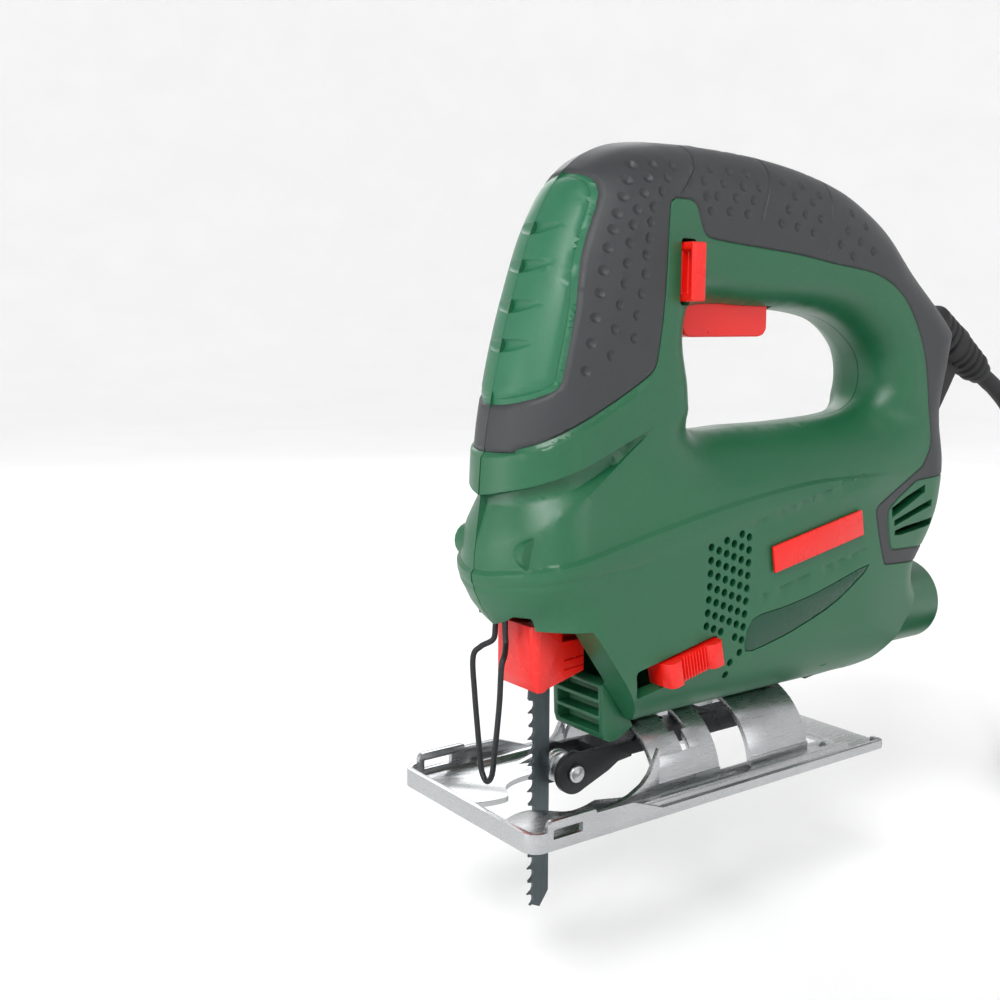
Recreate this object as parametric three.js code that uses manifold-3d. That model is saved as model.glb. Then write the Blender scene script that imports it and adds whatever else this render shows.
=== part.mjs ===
// A corded jigsaw, in millimetres, +Z up.
// The back of the saw blade runs down the Z axis and z = 0 is the sole of the base plate.
// The nose points along -X, the dust port and the cord leave along +X, and y = 0 is the seam of the housing.

import * as THREE from 'three';
import { mergeVertices } from 'three/addons/utils/BufferGeometryUtils.js';
import loadManifold from 'manifold-3d';

const wasm = await loadManifold();
wasm.setup();

// ---- driving dimensions ----

const GAP = 0.3;                 // air between pieces that touch
const WALL = 3.8;                // housing wall
const SKIN = 1.7;                // soft overmould let into the wall
const BODY_HALF = 27;            // half the width of the motor casing
const PALM_HALF = 22.5;          // half the width at the front of the grip
const GRIP_HALF = 18.5;          // half the width of the handle bar
const NOSE_BOTTOM = 60;

const PLATE_FRONT = -34;
const PLATE_REAR = 127;
const PLATE_HALF = 36;
const SHEET = 1.8;               // base plate steel
const HOOP_OUTER = 25;           // hoops are arcs about the bevel axis, which is the X axis
const HOOP_INNER = 23.2;

const MOTOR_Z = 73;
const GEAR_Z = 95;
const GEAR_RADIUS = 18.4;
const CRANK_RADIUS = 10;         // half the 20 mm stroke
const ROD_X = -4;                // middle of the blade and of the plunger
const LEVER_LOW = 38.5;
const LEVER_HIGH = 59.6;

const PORT_Z = 41.8;
const PORT_OUTER = 16.1;
const PORT_INNER = 13.4;
const PORT_END = 185;

const ROLLER_X = 5.7;
const ROLLER_Z = 7.8;
const ROLLER_RADIUS = 5.4;

const FLOOR = -60;               // what the loose cord lies on, below the lowest stroke of the blade
const CORD_RADIUS = 3.75;
const BOOT_END = 64;             // along the cord, from where it is clamped
const COIL_X = 325;
const COIL_Y = -22;
const COIL_RADIUS = 38;          // middle of the turns, which are three wide and four high
const COIL_HALF = 3 * CORD_RADIUS;
const COIL_HEIGHT = 8 * CORD_RADIUS;

// ---- colours ----

const finishes = {
  green: { color: 0x2b6247, roughness: 0.55, metalness: 0 },
  softGreen: { color: 0x34735a, roughness: 0.7, metalness: 0 },
  grey: { color: 0x3d4043, roughness: 0.75, metalness: 0 },
  red: { color: 0xd8201a, roughness: 0.4, metalness: 0 },
  sheetSteel: { color: 0xb4b8bb, roughness: 0.35, metalness: 0.9 },
  steel: { color: 0x8a8e92, roughness: 0.35, metalness: 0.95 },
  blackSteel: { color: 0x22262a, roughness: 0.45, metalness: 0.7 },
  bladeSteel: { color: 0x3a4144, roughness: 0.5, metalness: 0.7 },
  copper: { color: 0xb06a36, roughness: 0.4, metalness: 0.9 },
  bronze: { color: 0x9a7440, roughness: 0.5, metalness: 0.8 },
  aluminium: { color: 0xa6a9ab, roughness: 0.5, metalness: 0.8 },
  blackPlastic: { color: 0x1b1c1e, roughness: 0.6, metalness: 0 },
  rubber: { color: 0x141516, roughness: 0.8, metalness: 0 },
  brass: { color: 0xb8953f, roughness: 0.3, metalness: 0.9 },
};
const material = Object.fromEntries(
  Object.entries(finishes).map(([name, look]) => [name, new THREE.MeshStandardMaterial({ ...look, flatShading: true })]),
);

// ---- geometry helpers ----

const tool = new THREE.Group();

function toSolid(geometry) {
  const bare = geometry.clone();
  bare.deleteAttribute('normal');
  bare.deleteAttribute('uv');
  const merged = mergeVertices(bare, 1e-4);
  return new wasm.Manifold(new wasm.Mesh({
    numProp: 3,
    vertProperties: new Float32Array(merged.attributes.position.array),
    triVerts: new Uint32Array(merged.index.array),
  }));
}

const SLIVER = 0.15;             // detail finer than this is smoothed away after a cut

function toGeometry(solid) {
  const mesh = solid.simplify(SLIVER).getMesh();
  const geometry = new THREE.BufferGeometry();
  geometry.setAttribute('position', new THREE.BufferAttribute(mesh.vertProperties, 3));
  geometry.setIndex(new THREE.BufferAttribute(mesh.triVerts, 1));
  geometry.computeVertexNormals();
  return geometry;
}

function place(name, solid, look) {
  const mesh = new THREE.Mesh(toGeometry(solid), material[look]);
  mesh.name = name;
  tool.add(mesh);
}

// A block between two corners.
function block(x0, x1, y0, y1, z0, z1) {
  const geometry = new THREE.BoxGeometry(x1 - x0, y1 - y0, z1 - z0);
  geometry.translate((x0 + x1) / 2, (y0 + y1) / 2, (z0 + z1) / 2);
  return toSolid(geometry);
}

// A round bar along one axis, from one end to the other. a and b are its centre in the other two axes.
function bar(axis, from, to, a, b, radius, sides = 24, endRadius = radius) {
  const geometry = new THREE.CylinderGeometry(endRadius, radius, to - from, sides);
  const middle = (from + to) / 2;
  if (axis === 'x') {
    geometry.rotateZ(-Math.PI / 2);
    geometry.translate(middle, a, b);
  } else if (axis === 'y') {
    geometry.translate(a, middle, b);
  } else {
    geometry.rotateX(Math.PI / 2);
    geometry.translate(a, b, middle);
  }
  return toSolid(geometry);
}

function pipe(axis, from, to, a, b, outer, inner, sides = 24) {
  return bar(axis, from, to, a, b, outer, sides).subtract(bar(axis, from - 1, to + 1, a, b, inner, sides));
}

function shapeOf(points) {
  return new THREE.Shape(points.map(([u, v]) => new THREE.Vector2(u, v)));
}

// A side-view outline of [x, z] points, given thickness from y0 to y1.
function sideSlab(points, y0, y1) {
  const geometry = new THREE.ExtrudeGeometry(shapeOf(points), { depth: y1 - y0, bevelEnabled: false });
  geometry.rotateX(Math.PI / 2);
  geometry.translate(0, y1, 0);
  return toSolid(geometry);
}

// A plan outline of [x, y] points, given thickness from z0 to z1.
function planSlab(points, z0, z1) {
  const geometry = new THREE.ExtrudeGeometry(shapeOf(points), { depth: z1 - z0, bevelEnabled: false });
  geometry.translate(0, 0, z0);
  return toSolid(geometry);
}

// A front-view outline of [y, z] points, given thickness from x0 to x1.
function frontSlab(points, x0, x1) {
  const geometry = new THREE.ExtrudeGeometry(shapeOf(points), { depth: x1 - x0, bevelEnabled: false });
  geometry.rotateY(Math.PI / 2);
  geometry.rotateX(Math.PI / 2);
  geometry.translate(x0, 0, 0);
  return toSolid(geometry);
}

function lathe(profile, sides = 24) {
  return toSolid(new THREE.LatheGeometry(profile.map(([r, h]) => new THREE.Vector2(r, h)), sides));
}

function smooth(points, count) {
  const curve = new THREE.CatmullRomCurve3(points.map(([u, v]) => new THREE.Vector3(u, v, 0)));
  return curve.getPoints(count).map((p) => [p.x, p.y]);
}

function arc(cx, cy, radius, from, to, count) {
  return Array.from({ length: count + 1 }, (_, i) => {
    const angle = THREE.MathUtils.degToRad(from + ((to - from) * i) / count);
    return [cx + radius * Math.cos(angle), cy + radius * Math.sin(angle)];
  });
}

function roundTube(points, radius, sides, steps) {
  const curve = new THREE.CatmullRomCurve3(points.map((p) => new THREE.Vector3(...p)));
  const section = shapeOf(arc(0, 0, radius, 0, 360 - 360 / sides, sides - 1));
  return toSolid(new THREE.ExtrudeGeometry(section, { steps, bevelEnabled: false, extrudePath: curve }));
}

function turnedBlock(x0, x1, y0, y1, z0, z1, degrees, pivotX, pivotZ) {
  return block(x0, x1, y0, y1, z0, z1)
    .translate([-pivotX, 0, -pivotZ])
    .rotate([0, -degrees, 0])
    .translate([pivotX, 0, pivotZ]);
}

function mirrored(solid) {
  return solid.mirror([0, 1, 0]);
}

// ---- the form of the body ----

// Side-view line round the front, top and rear, which is rounded all the way.
const crownLine = smooth([
  [-22, NOSE_BOTTOM], [-27, 67], [-29.4, 77], [-28.6, 88], [-27, 100], [-25.8, 114], [-23.5, 128],
  [-19.5, 146], [-14.5, 163], [-7.5, 182], [2, 197], [14, 205.5], [30, 209.3], [57, 210], [84, 208.5],
  [108, 205], [128, 199.5], [148, 189], [166, 173.5], [186, 158], [192.5, 150], [191, 138], [186.5, 118],
  [185.5, 100], [183, 82], [177, 69], [168, 58],
], 30);

// Its underside: the step behind the nose, the belly and the collar of the dust port.
const bellyLine = [
  [150, 40], [138, 28], [122, 23.5], [102, 21], [30, 19], [20.5, 26], [-3.6, NOSE_BOTTOM],
];

const outline = [...crownLine, ...bellyLine];

const handleHole = smooth([
  [52, 118], [46, 136], [43.5, 150], [50, 157.5], [80, 157.5], [110, 156.8], [131, 152], [146, 141],
  [148, 128], [138, 120], [112, 117.5], [80, 117], [52, 118],
], 22).slice(0, -1);

function distanceTo(line, closed, x, z) {
  let best = Infinity;
  const last = closed ? line.length : line.length - 1;
  for (let i = 0; i < last; i += 1) {
    const [ax, az] = line[i];
    const [bx, bz] = line[(i + 1) % line.length];
    const dx = bx - ax;
    const dz = bz - az;
    const along = THREE.MathUtils.clamp(((x - ax) * dx + (z - az) * dz) / (dx * dx + dz * dz), 0, 1);
    best = Math.min(best, Math.hypot(x - ax - along * dx, z - az - along * dz));
  }
  return best;
}

function inside(line, x, z) {
  let odd = false;
  for (let i = 0; i < line.length; i += 1) {
    const [ax, az] = line[i];
    const [bx, bz] = line[(i + 1) % line.length];
    if (az > z !== bz > z && x < ax + ((bx - ax) * (z - az)) / (bz - az)) {
      odd = !odd;
    }
  }
  return odd;
}

const { clamp, lerp, smoothstep } = THREE.MathUtils;

function roundOff(distance, radius) {
  const t = clamp(distance / radius, 0, 1);
  return Math.sqrt(1 - (1 - t) ** 2);
}

// Height of the ridge that runs round the body from the nose to the rear.
function beltHeight(x) {
  return 98.6 - 21 * (1 - clamp((x + 29) / 130, 0, 1)) ** 1.5;
}

// Half the body's width at a point of its side view.
function halfWidth(x, z) {
  const grip = lerp(PALM_HALF, GRIP_HALF, smoothstep(x, 20, 60));
  const casing = lerp(BODY_HALF, 23, smoothstep(x, 120, 175));
  const belt = beltHeight(x);
  let width = lerp(casing, grip, smoothstep(z, belt - 4, belt + 26));
  const edge = inside(outline, x, z) ? distanceTo(crownLine, false, x, z) : 0;
  const frontness = 1 - smoothstep(x, -5, 25);
  width *= roundOff(edge + 0.4, lerp(18, 24, frontness));
  const holeEdge = inside(handleHole, x, z) ? 0 : distanceTo(handleHole, true, x, z);
  width *= roundOff(holeEdge + 1.2, lerp(22, 12, smoothstep(z, 116, 126)));
  if (x > 14) {
    width = Math.min(width, 11 + 16 * roundOff(z - 24, 24));
  }
  return Math.max(width, 0.5);
}

function inset(points, depth) {
  const count = points.length;
  const area = points.reduce((sum, [x, z], i) => {
    const [nx, nz] = points[(i + 1) % count];
    return sum + x * nz - nx * z;
  }, 0);
  const side = Math.sign(area) * depth;
  return points.map(([x, z], i) => {
    const [px, pz] = points[(i + count - 1) % count];
    const [nx, nz] = points[(i + 1) % count];
    const before = new THREE.Vector2(x - px, z - pz).normalize();
    const after = new THREE.Vector2(nx - x, nz - z).normalize();
    const turn = Math.max(1 + before.dot(after), 0.6);
    return [x - (side * (before.y + after.y)) / turn, z + (side * (before.x + after.x)) / turn];
  });
}

// The body's near half (y below 0), drawn in by a depth all over. It runs a little past the seam.
function halfBody(depth) {
  const cell = 15;
  const low = [-42, 10];
  const size = [245, 210];
  const columns = Math.round(size[0] / cell);
  const rows = Math.round(size[1] / cell);
  const geometry = new THREE.BoxGeometry(size[0], 10, size[1], columns, 1, rows);
  geometry.translate(low[0] + size[0] / 2, 0, low[1] + size[1] / 2);
  const spots = geometry.attributes.position;
  for (let i = 0; i < spots.count; i += 1) {
    if (spots.getY(i) < 0) {
      const width = halfWidth(spots.getX(i), spots.getZ(i)) - depth;
      spots.setY(i, -Math.max(width, 0.2));
    }
  }
  return toSolid(geometry)
    .intersect(sideSlab(inset(outline, depth), -60, 4))
    .subtract(sideSlab(inset(handleHole, -depth), -60, 6));
}

// ---- regions of the side view ----

const palmRegion = [
  [-60, 199], [3.8, 198.6], [6, 193], [-2, 173.7], [-5.5, 156.3], [-10.5, 136.3], [-13, 132.5],
  [-22.9, 128], [-60, 126],
];

const gripRegion = [
  [-60, 113.6], [-25.8, 113.6], [-21, 115.3], [-12.7, 119], [-3.3, 123.8], [9.7, 130], [23.5, 138],
  [27.4, 161.4], [28.8, 189.9], [39.5, 190.1], [47, 179.6], [65.5, 177.3], [90, 175.3], [109, 172.8],
  [134.8, 169.3], [151, 160.7], [161.8, 145], [166, 131], [166, 108], [154.6, 98.2], [131, 88.6],
  [128.2, 85], [136, 64.6], [152.7, 63.4], [230, 58], [230, 68.5], [176, 68.5], [139, 70.5], [137, 85],
  [155, 94], [230, 97], [230, 240], [-60, 240],
];

function grown(region, by) {
  return inset(region, -by);
}

// ---- housing, overmould and palm panel ----

const screwSpots = [[-19, 84], [12, 186], [110, 186], [161, 113], [108, 36], [38, 108]];

const triggerSlot = block(46.6, 89.4, -9.2, 9.2, 146, 169);
const noseRecess = sideSlab([[-22, 50], [-22, 64.2], [12, 64.2], [12, 30], [-12, 50]], -14.8, 14.8)
  .add(sideSlab([[8, 64.2], [15, 64.2], [15, 44], [30, 26], [24, 14], [8, 14]], -13.2, 13.2));
const lockSlot = block(33.6, 41, -40, -10, 158, 178.6);
const portBore = bar('x', 118, 220, 0, PORT_Z, PORT_OUTER + GAP, 32);
const saddle = bar('x', 15, 112, 0, 0, HOOP_OUTER + 1.1, 48);
const BLOWER_SLANT = 11.5;
const blowerSlot = turnedBlock(14, 50, -40, -18, 38.6, 48.4, BLOWER_SLANT, 32, 43.5);

// ---- the line of the cord where it leaves the handle ----

const CORD_SLOPE = -29;          // degrees, down from +X
const BOOT_START = [172, 0, 163];
const slope = THREE.MathUtils.degToRad(CORD_SLOPE);

function alongCord(distance) {
  return [BOOT_START[0] + distance * Math.cos(slope), 0, BOOT_START[2] + distance * Math.sin(slope)];
}

// A turned piece on that line. Its profile is [radius, distance along the cord] points.
function turnedOnCord(profile, sides = 20) {
  return lathe(profile, sides).rotate([90, 0, 0]).rotate([0, 90 - CORD_SLOPE, 0])
    .translate(BOOT_START);
}

const cordMouth = turnedOnCord([[0, -6], [6.3, -6], [6.3, 21.5], [9.4, 21.5], [9.4, 60], [0, 60]]);

function ventHoles() {
  const holes = [];
  for (let column = 0; column < 3; column += 1) {
    for (let row = 0; row < 5; row += 1) {
      const x = 43 + column * 7;
      const z = 50 + row * 6.8 + (column % 2) * 3.4 + column;
      holes.push(bar('y', -40, -15, x, z, 1.6, 6));
    }
  }
  for (let slot = 0; slot < 3; slot += 1) {
    const z = 73.5 + slot * 6.4;
    holes.push(turnedBlock(143 + slot * 2, 160 + slot * 3, -40, -6, z, z + 3, 28, 150, z));
  }
  return holes.reduce((all, hole) => all.add(hole));
}

const bodyHalf = halfBody(0);
const cavity = halfBody(WALL);
const skinFloor = halfBody(SKIN + GAP);
const skinInner = halfBody(SKIN);
const nearSide = block(-100, 300, -100, -GAP / 2, -60, 260);

function skinPiece(region) {
  return bodyHalf.subtract(skinInner).intersect(sideSlab(region, -60, 20));
}

function housingShell() {
  let shell = bodyHalf.subtract(cavity);
  const gripPocket = sideSlab(grown(gripRegion, GAP), -60, 20).subtract(skinFloor);
  const palmPocket = sideSlab(grown(palmRegion, GAP), -60, 20).subtract(skinFloor);
  shell = shell.subtract(gripPocket).subtract(palmPocket);
  for (const [x, z] of screwSpots) {
    shell = shell.add(bar('y', -26, 0, x, z, 5.6, 14).intersect(skinFloor));
  }
  return shell
    .subtract(triggerSlot)
    .subtract(noseRecess)
    .subtract(portBore)
    .subtract(saddle)
    .subtract(cordMouth)
    .subtract(ventHoles())
    .intersect(nearSide);
}

const shell = housingShell();
const screwHoles = screwSpots.map(([x, z]) => bar('y', -24, 1, x, z, 2.0, 8)).reduce((a, b) => a.add(b));
const headHoles = screwSpots.map(([x, z]) => bar('y', 12, 40, x, z, 3.9, 12)).reduce((a, b) => a.add(b));

const namePlateOutline = [[62.5, 44.3], [65.1, 54.3], [98.2, 59.8], [125.5, 66.2], [108.9, 55.7], [90.1, 49.3], [76, 45.8]];
const namePlatePocket = sideSlab(grown(namePlateOutline, GAP), -60, -BODY_HALF + 1.2);

place(
  'housing_left',
  shell.subtract(screwHoles).subtract(lockSlot).subtract(blowerSlot).subtract(namePlatePocket),
  'green',
);
place('housing_right', mirrored(shell.subtract(screwHoles)).subtract(headHoles), 'green');

const gripSkin = skinPiece(gripRegion).subtract(sideSlab(grown(palmRegion, GAP), -60, 20)).intersect(nearSide)
  .subtract(triggerSlot)
  .subtract(cordMouth);
place('grip_left', gripSkin, 'grey');
place('grip_right', mirrored(gripSkin).subtract(headHoles), 'grey');

const palmHalf = skinPiece(palmRegion).intersect(block(-100, 300, -100, 0.01, -60, 260));
place('palm_panel', palmHalf.add(mirrored(palmHalf)), 'softGreen');

screwSpots.forEach(([x, z], index) => {
  const head = halfWidth(x, z) - 3.2;
  const screw = bar('y', -14, head - 2.2, x, z, 1.6, 8).add(bar('y', head - 2.6, head, x, z, 3.4, 12));
  place(`housing_screw_${index + 1}`, screw.subtract(block(x - 2.4, x + 2.4, head - 1, head + 1, z - 0.5, z + 0.5)), 'steel');
});

// ---- badge and type plate ----

const badgeOutline = [[74, 69.5], [72.6, 78.6], [118.2, 87.2], [119.8, 78]];
place('badge', sideSlab(badgeOutline, -BODY_HALF - 1.6, -BODY_HALF - GAP), 'red');
place('type_plate', sideSlab(namePlateOutline, -BODY_HALF - 0.1, -BODY_HALF + 0.9), 'green');

// ---- dust port and chip nozzle ----

function dustPort() {
  const tube = bar('x', 120, PORT_END, 0, PORT_Z, PORT_OUTER, 32);
  const bore = bar('x', 121.5, PORT_END + 1, 0, PORT_Z, PORT_INNER, 32);
  const inlet = bar('x', 110, 125, 0, PORT_Z, 6, 16);
  return tube.subtract(bore).subtract(inlet);
}
place('dust_port', dustPort(), 'green');

function chipNozzle() {
  const side = [[11.6, 37.5], [12.6, 19], [16, 17.6], [25.4, 21.4], [21, 30], [15, 39]];
  let nozzle = sideSlab(side, -12.8, 12.8);
  for (const z of [21, 26.6, 32.2]) {
    nozzle = nozzle.subtract(block(8, 17.5, -10.6, 10.6, z, z + 4.2));
  }
  return nozzle;
}
place('chip_nozzle', chipNozzle(), 'green');

// ---- wire guard ----

const GUARD_X = -24.5;
function wireGuard() {
  const half = [
    [-19.5, 2.6, 63.8], [-19.5, 2.6, 58], [-19.8, 3.4, 54], [-22.4, 6.4, 51.5], [GUARD_X, 7.6, 48],
    [GUARD_X, 6.6, 36], [GUARD_X, 4.2, 20], [GUARD_X, 2.6, 11.6],
  ];
  const back = half.slice().reverse().map(([x, y, z]) => [x, -y, z]);
  return roundTube([...half, [GUARD_X, 0, 9.6], ...back], 1.05, 6, 28);
}
place('wire_guard', wireGuard(), 'blackSteel');

// ---- plunger, clamp and blade ----

const YOKE_Z = GEAR_Z + CRANK_RADIUS;

function plungerRod() {
  const rod = bar('z', 51, 143, ROD_X, 0, 3.5, 20);
  const yoke = block(-8.4, -0.8, -14, 14, YOKE_Z - 5.6, YOKE_Z + 5.6);
  const slot = block(-3, 0, -11.5, 11.5, YOKE_Z - 2.8, YOKE_Z + 2.8);
  return rod.add(yoke).subtract(slot);
}
place('plunger_rod', plungerRod(), 'steel');

const bladeSlot = block(-8.6, 0.6, -1.1, 1.1, 20, 53);

place('blade_clamp', bar('z', 40.5, 50.7, ROD_X, 0, 6.6, 24).subtract(bladeSlot), 'blackSteel');

function sawBlade() {
  const TIP = -38;
  const PITCH = 4.4;
  const teeth = [];
  for (let z = 33; z > TIP + 4; z -= PITCH) {
    teeth.push([-8.3, z], [-6.2, z - 0.7], [-6.0, z - 2.2], [-7.4, z - 3.5]);
  }
  const outlinePoints = [
    [0, 37], [-1.6, 38], [-1.6, 50], [-6.2, 50], [-6.2, 38], [-8, 36.6],
    ...teeth, [-6.6, TIP + 1.5], [-3.5, TIP], [0, TIP + 5],
  ];
  return sideSlab(outlinePoints, -0.65, 0.65);
}
place('saw_blade', sawBlade(), 'bladeSteel');

function sdsLever() {
  const plan = [
    [-14, -7.5], [-14, 7.5], [-11.5, 10.4], [6, 10.4], [8.2, 6], [8.2, -6], [6, -10.4], [-11.5, -10.4],
  ];
  const cap = planSlab(plan, LEVER_LOW, LEVER_HIGH);
  const bore = bar('z', LEVER_LOW - 1, LEVER_HIGH + 1, ROD_X, 0, 7.1, 24);
  const finger = block(-3, 4, -12, -10.2, LEVER_LOW + 1.5, LEVER_LOW + 12);
  const thumb = block(-14, 9, -11, -6.4, LEVER_HIGH - 6, LEVER_HIGH + 1).intersect(block(-3, 9, -12, 0, 50, 66));
  return cap.add(finger).subtract(bore).subtract(thumb);
}
place('sds_lever', sdsLever(), 'red');

// ---- gear case, gear and crank ----

function gearFrame() {
  const plate = frontSlab([[-19, 62], [-19, 104], [-12, 122], [12, 122], [19, 104], [19, 62]], 20, 24);
  const lowBoss = block(-10, 21, -8.5, 8.5, 64.6, 68.6);
  const highBoss = block(-10, 21, -8.5, 8.5, 117, 121.5);
  return plate.add(lowBoss).add(highBoss)
    .subtract(bar('z', 60, 130, ROD_X, 0, 5.3, 20))
    .subtract(bar('x', 15, 30, 0, GEAR_Z, 3.3, 16))
    .subtract(bar('x', 15, 30, 0, MOTOR_Z, 8.3, 20));
}
place('gear_frame', gearFrame(), 'aluminium');
place('lower_bush', pipe('z', 64, 69.4, ROD_X, 0, 5, 3.8, 20), 'bronze');
place('upper_bush', pipe('z', 116.5, 122, ROD_X, 0, 5, 3.8, 20), 'bronze');

function toothedWheel(radius, teeth, depth, x0, x1, z) {
  const points = [];
  for (let i = 0; i < teeth; i += 1) {
    for (const [share, reach] of [[0, -depth], [0.5, 0]]) {
      const angle = ((i + share) / teeth) * Math.PI * 2;
      points.push([(radius + reach) * Math.cos(angle), z + (radius + reach) * Math.sin(angle)]);
    }
  }
  return frontSlab(points, x0, x1);
}

place('gear_axle', bar('x', 8.6, 29.4, 0, GEAR_Z, 3, 16), 'steel');
place(
  'drive_gear',
  toothedWheel(GEAR_RADIUS, 48, 1.2, 11, 17, GEAR_Z).subtract(bar('x', 5, 20, 0, GEAR_Z, 3.3, 16)),
  'steel',
);
place('crank_pin', bar('x', 0.2, 10.7, 0, YOKE_Z, 2.3, 16), 'steel');
place('balance_weight', frontSlab([
  ...arc(0, GEAR_Z, 16.5, 205, 335, 10), ...arc(0, GEAR_Z, 6, 325, 215, 6),
], 6.4, 10.7), 'steel');

// ---- motor ----

place('pinion', toothedWheel(3.3, 7, 0.9, 10, 18, MOTOR_Z).subtract(
  bar('x', 5, 20, 0, MOTOR_Z, 1.9, 12),
), 'steel');
place('armature_shaft', bar('x', 9, 150, 0, MOTOR_Z, 1.6, 12), 'steel');
place('front_bearing', pipe('x', 20.2, 25, 0, MOTOR_Z, 8, 1.9, 20), 'steel');
place('rear_bearing', pipe('x', 142, 147, 0, MOTOR_Z, 7, 1.9, 20), 'steel');

function fan() {
  let wheel = pipe('x', 30, 31.6, 0, MOTOR_Z, 20, 1.9, 32).add(pipe('x', 30, 40, 0, MOTOR_Z, 4.5, 1.9, 16));
  for (let i = 0; i < 12; i += 1) {
    const vane = block(31, 39.5, -0.6, 0.6, 4, 19).rotate([30 * i, 0, 0]).translate([0, 0, MOTOR_Z]);
    wheel = wheel.add(vane);
  }
  return wheel;
}
place('cooling_fan', fan(), 'blackPlastic');

place('armature_core', pipe('x', 57, 95, 0, MOTOR_Z, 12, 1.9, 24), 'steel');
place('commutator', pipe('x', 108, 120, 0, MOTOR_Z, 9, 1.9, 24), 'copper');
place('field_core', pipe('x', 58, 94, 0, MOTOR_Z, 21.5, 13, 32), 'steel');
place('front_coil', pipe('x', 50, 57.6, 0, MOTOR_Z, 19.5, 14, 28), 'copper');
place('rear_coil', pipe('x', 94.4, 103, 0, MOTOR_Z, 19.5, 14, 28), 'copper');
place('brush_holder_left', block(110, 118, -22, -9.4, MOTOR_Z - 3.5, MOTOR_Z + 3.5), 'brass');
place('brush_holder_right', block(110, 118, 9.4, 22, MOTOR_Z - 3.5, MOTOR_Z + 3.5), 'brass');

// ---- roller bracket and guide roller ----

function rollerBracket() {
  const cheek = [...arc(ROLLER_X, ROLLER_Z, 7, 60, 300, 12), [24, 8.2], [30, 8.6], [30, 13.6], [20, 13.6]];
  const near = sideSlab(cheek, -7.2, -4.9);
  const far = sideSlab(cheek, 4.9, 7.2);
  const arm = block(16.5, 106, -7.2, 7.2, 9.2, 13.6);
  const relief = block(-4, 16.4, -4.9, 4.9, -5, 20);
  const pads = block(60, 68, -7.2, 7.2, 13, 17).add(block(99.5, 106, -7.2, 7.2, 13, 17));
  return near.add(far).add(arm).add(pads).subtract(relief)
    .subtract(bar('y', -10, 10, ROLLER_X, ROLLER_Z, 1.9, 12))
    .subtract(bar('z', 5, 20, 61.5, 0, 2.4, 12))
    .subtract(bar('z', 5, 20, 102.8, 0, 2.4, 12));
}
place('roller_bracket', rollerBracket(), 'blackSteel');

function bracketScrew(x, top) {
  return bar('z', 8.6, top, x, 0, 2, 12).add(bar('z', 5.4, 8.9, x, 0, 4, 6));
}
place('bracket_screw_front', bracketScrew(61.5, 22), 'steel');
place('bracket_screw_rear', bracketScrew(102.8, 22), 'steel');

place('roller_pin', bar('y', -7.5, 7.5, ROLLER_X, ROLLER_Z, 1.6, 12)
  .add(bar('y', -9, -7.5, ROLLER_X, ROLLER_Z, 2.9, 16)), 'steel');

function guideRoller() {
  const profile = [[2, -4.5], [ROLLER_RADIUS, -4.5], [ROLLER_RADIUS, -1], [ROLLER_RADIUS - 0.9, -0.9],
    [ROLLER_RADIUS - 0.9, 0.9], [ROLLER_RADIUS, 1], [ROLLER_RADIUS, 4.5], [2, 4.5], [2, -4.5]];
  return lathe(profile, 20).translate([ROLLER_X, 0, ROLLER_Z]);
}
place('guide_roller', guideRoller(), 'steel');

// ---- base plate ----

function hoop(x0, x1) {
  const band = [...arc(0, 0, HOOP_OUTER, 8, 172, 22), ...arc(0, 0, HOOP_INNER, 172, 8, 22)];
  return frontSlab(band, x0, x1);
}

function basePlate() {
  const corner = 5;
  const plan = [
    ...arc(PLATE_FRONT + corner, -PLATE_HALF + corner, corner, 180, 270, 5),
    ...arc(PLATE_REAR - 2, -PLATE_HALF + 2, 2, 270, 360, 3),
    ...arc(PLATE_REAR - 2, PLATE_HALF - 2, 2, 0, 90, 3),
    ...arc(PLATE_FRONT + corner, PLATE_HALF - corner, corner, 90, 180, 5),
  ];
  const floor = planSlab(plan, 0, SHEET);
  const rim = planSlab(plan, 0, 6).subtract(planSlab(inset(plan, SHEET), -1, 7));
  const rearCut = block(PLATE_REAR - 9, PLATE_REAR + 1, -31, 31, SHEET, 8);
  const wallSide = [[-28, 0], [-28, 7.5], [-26, 9], [-10, 9], [-9.5, 7.8], [5, 7.6], [17.5, 3], [17.5, 0]];
  const fenceWall = (y) => sideSlab(wallSide, y, y + SHEET);
  const lowRail = block(0, PLATE_REAR + 1, -40, 40, 3, 12);
  const ridge = (y) => block(-6, 112, y - 2, y + 2, 0, 3.6);
  let plate = floor.add(rim).subtract(rearCut).subtract(lowRail)
    .add(fenceWall(-PLATE_HALF)).add(fenceWall(PLATE_HALF - SHEET))
    .add(ridge(-30)).add(ridge(30));
  const opening = [
    [-32, 8], [-28.5, 4.8], [-22, 2.2], [-15, 1.9], [-12.2, 6], [-10, 9.5], [-4, 12.6], [6, 13.4],
    [16, 20.5], [112, 20.5], [112, -20.5], [16, -20.5], [6, -16.5], [-1, -18.6], [-7, -18.6],
    [-12, -14.5], [-17, -10.8], [-24, -11.7], [-32, -16],
  ];
  plate = plate.subtract(planSlab(opening, -1, 12));
  const feet = (x0, x1) => block(x0, x1, 20, HOOP_OUTER, 0, 5).add(block(x0, x1, -HOOP_OUTER, -20, 0, 5));
  const window = block(37.5, 45, -17, 17, 12, 30);
  const hoops = hoop(25.5, 54).subtract(window).add(hoop(69, 98));
  const under = bar('x', 0, 120, 0, 0, HOOP_INNER, 48);
  plate = plate.add(hoops).add(feet(25.5, 54).subtract(under)).add(feet(69, 98).subtract(under));
  const slots = block(-26, -15, -60, 60, 3.4, 6.4);
  return plate.subtract(slots);
}
place('base_plate', basePlate(), 'sheetSteel');

// ---- trigger, lock, blower slider and switch ----

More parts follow.
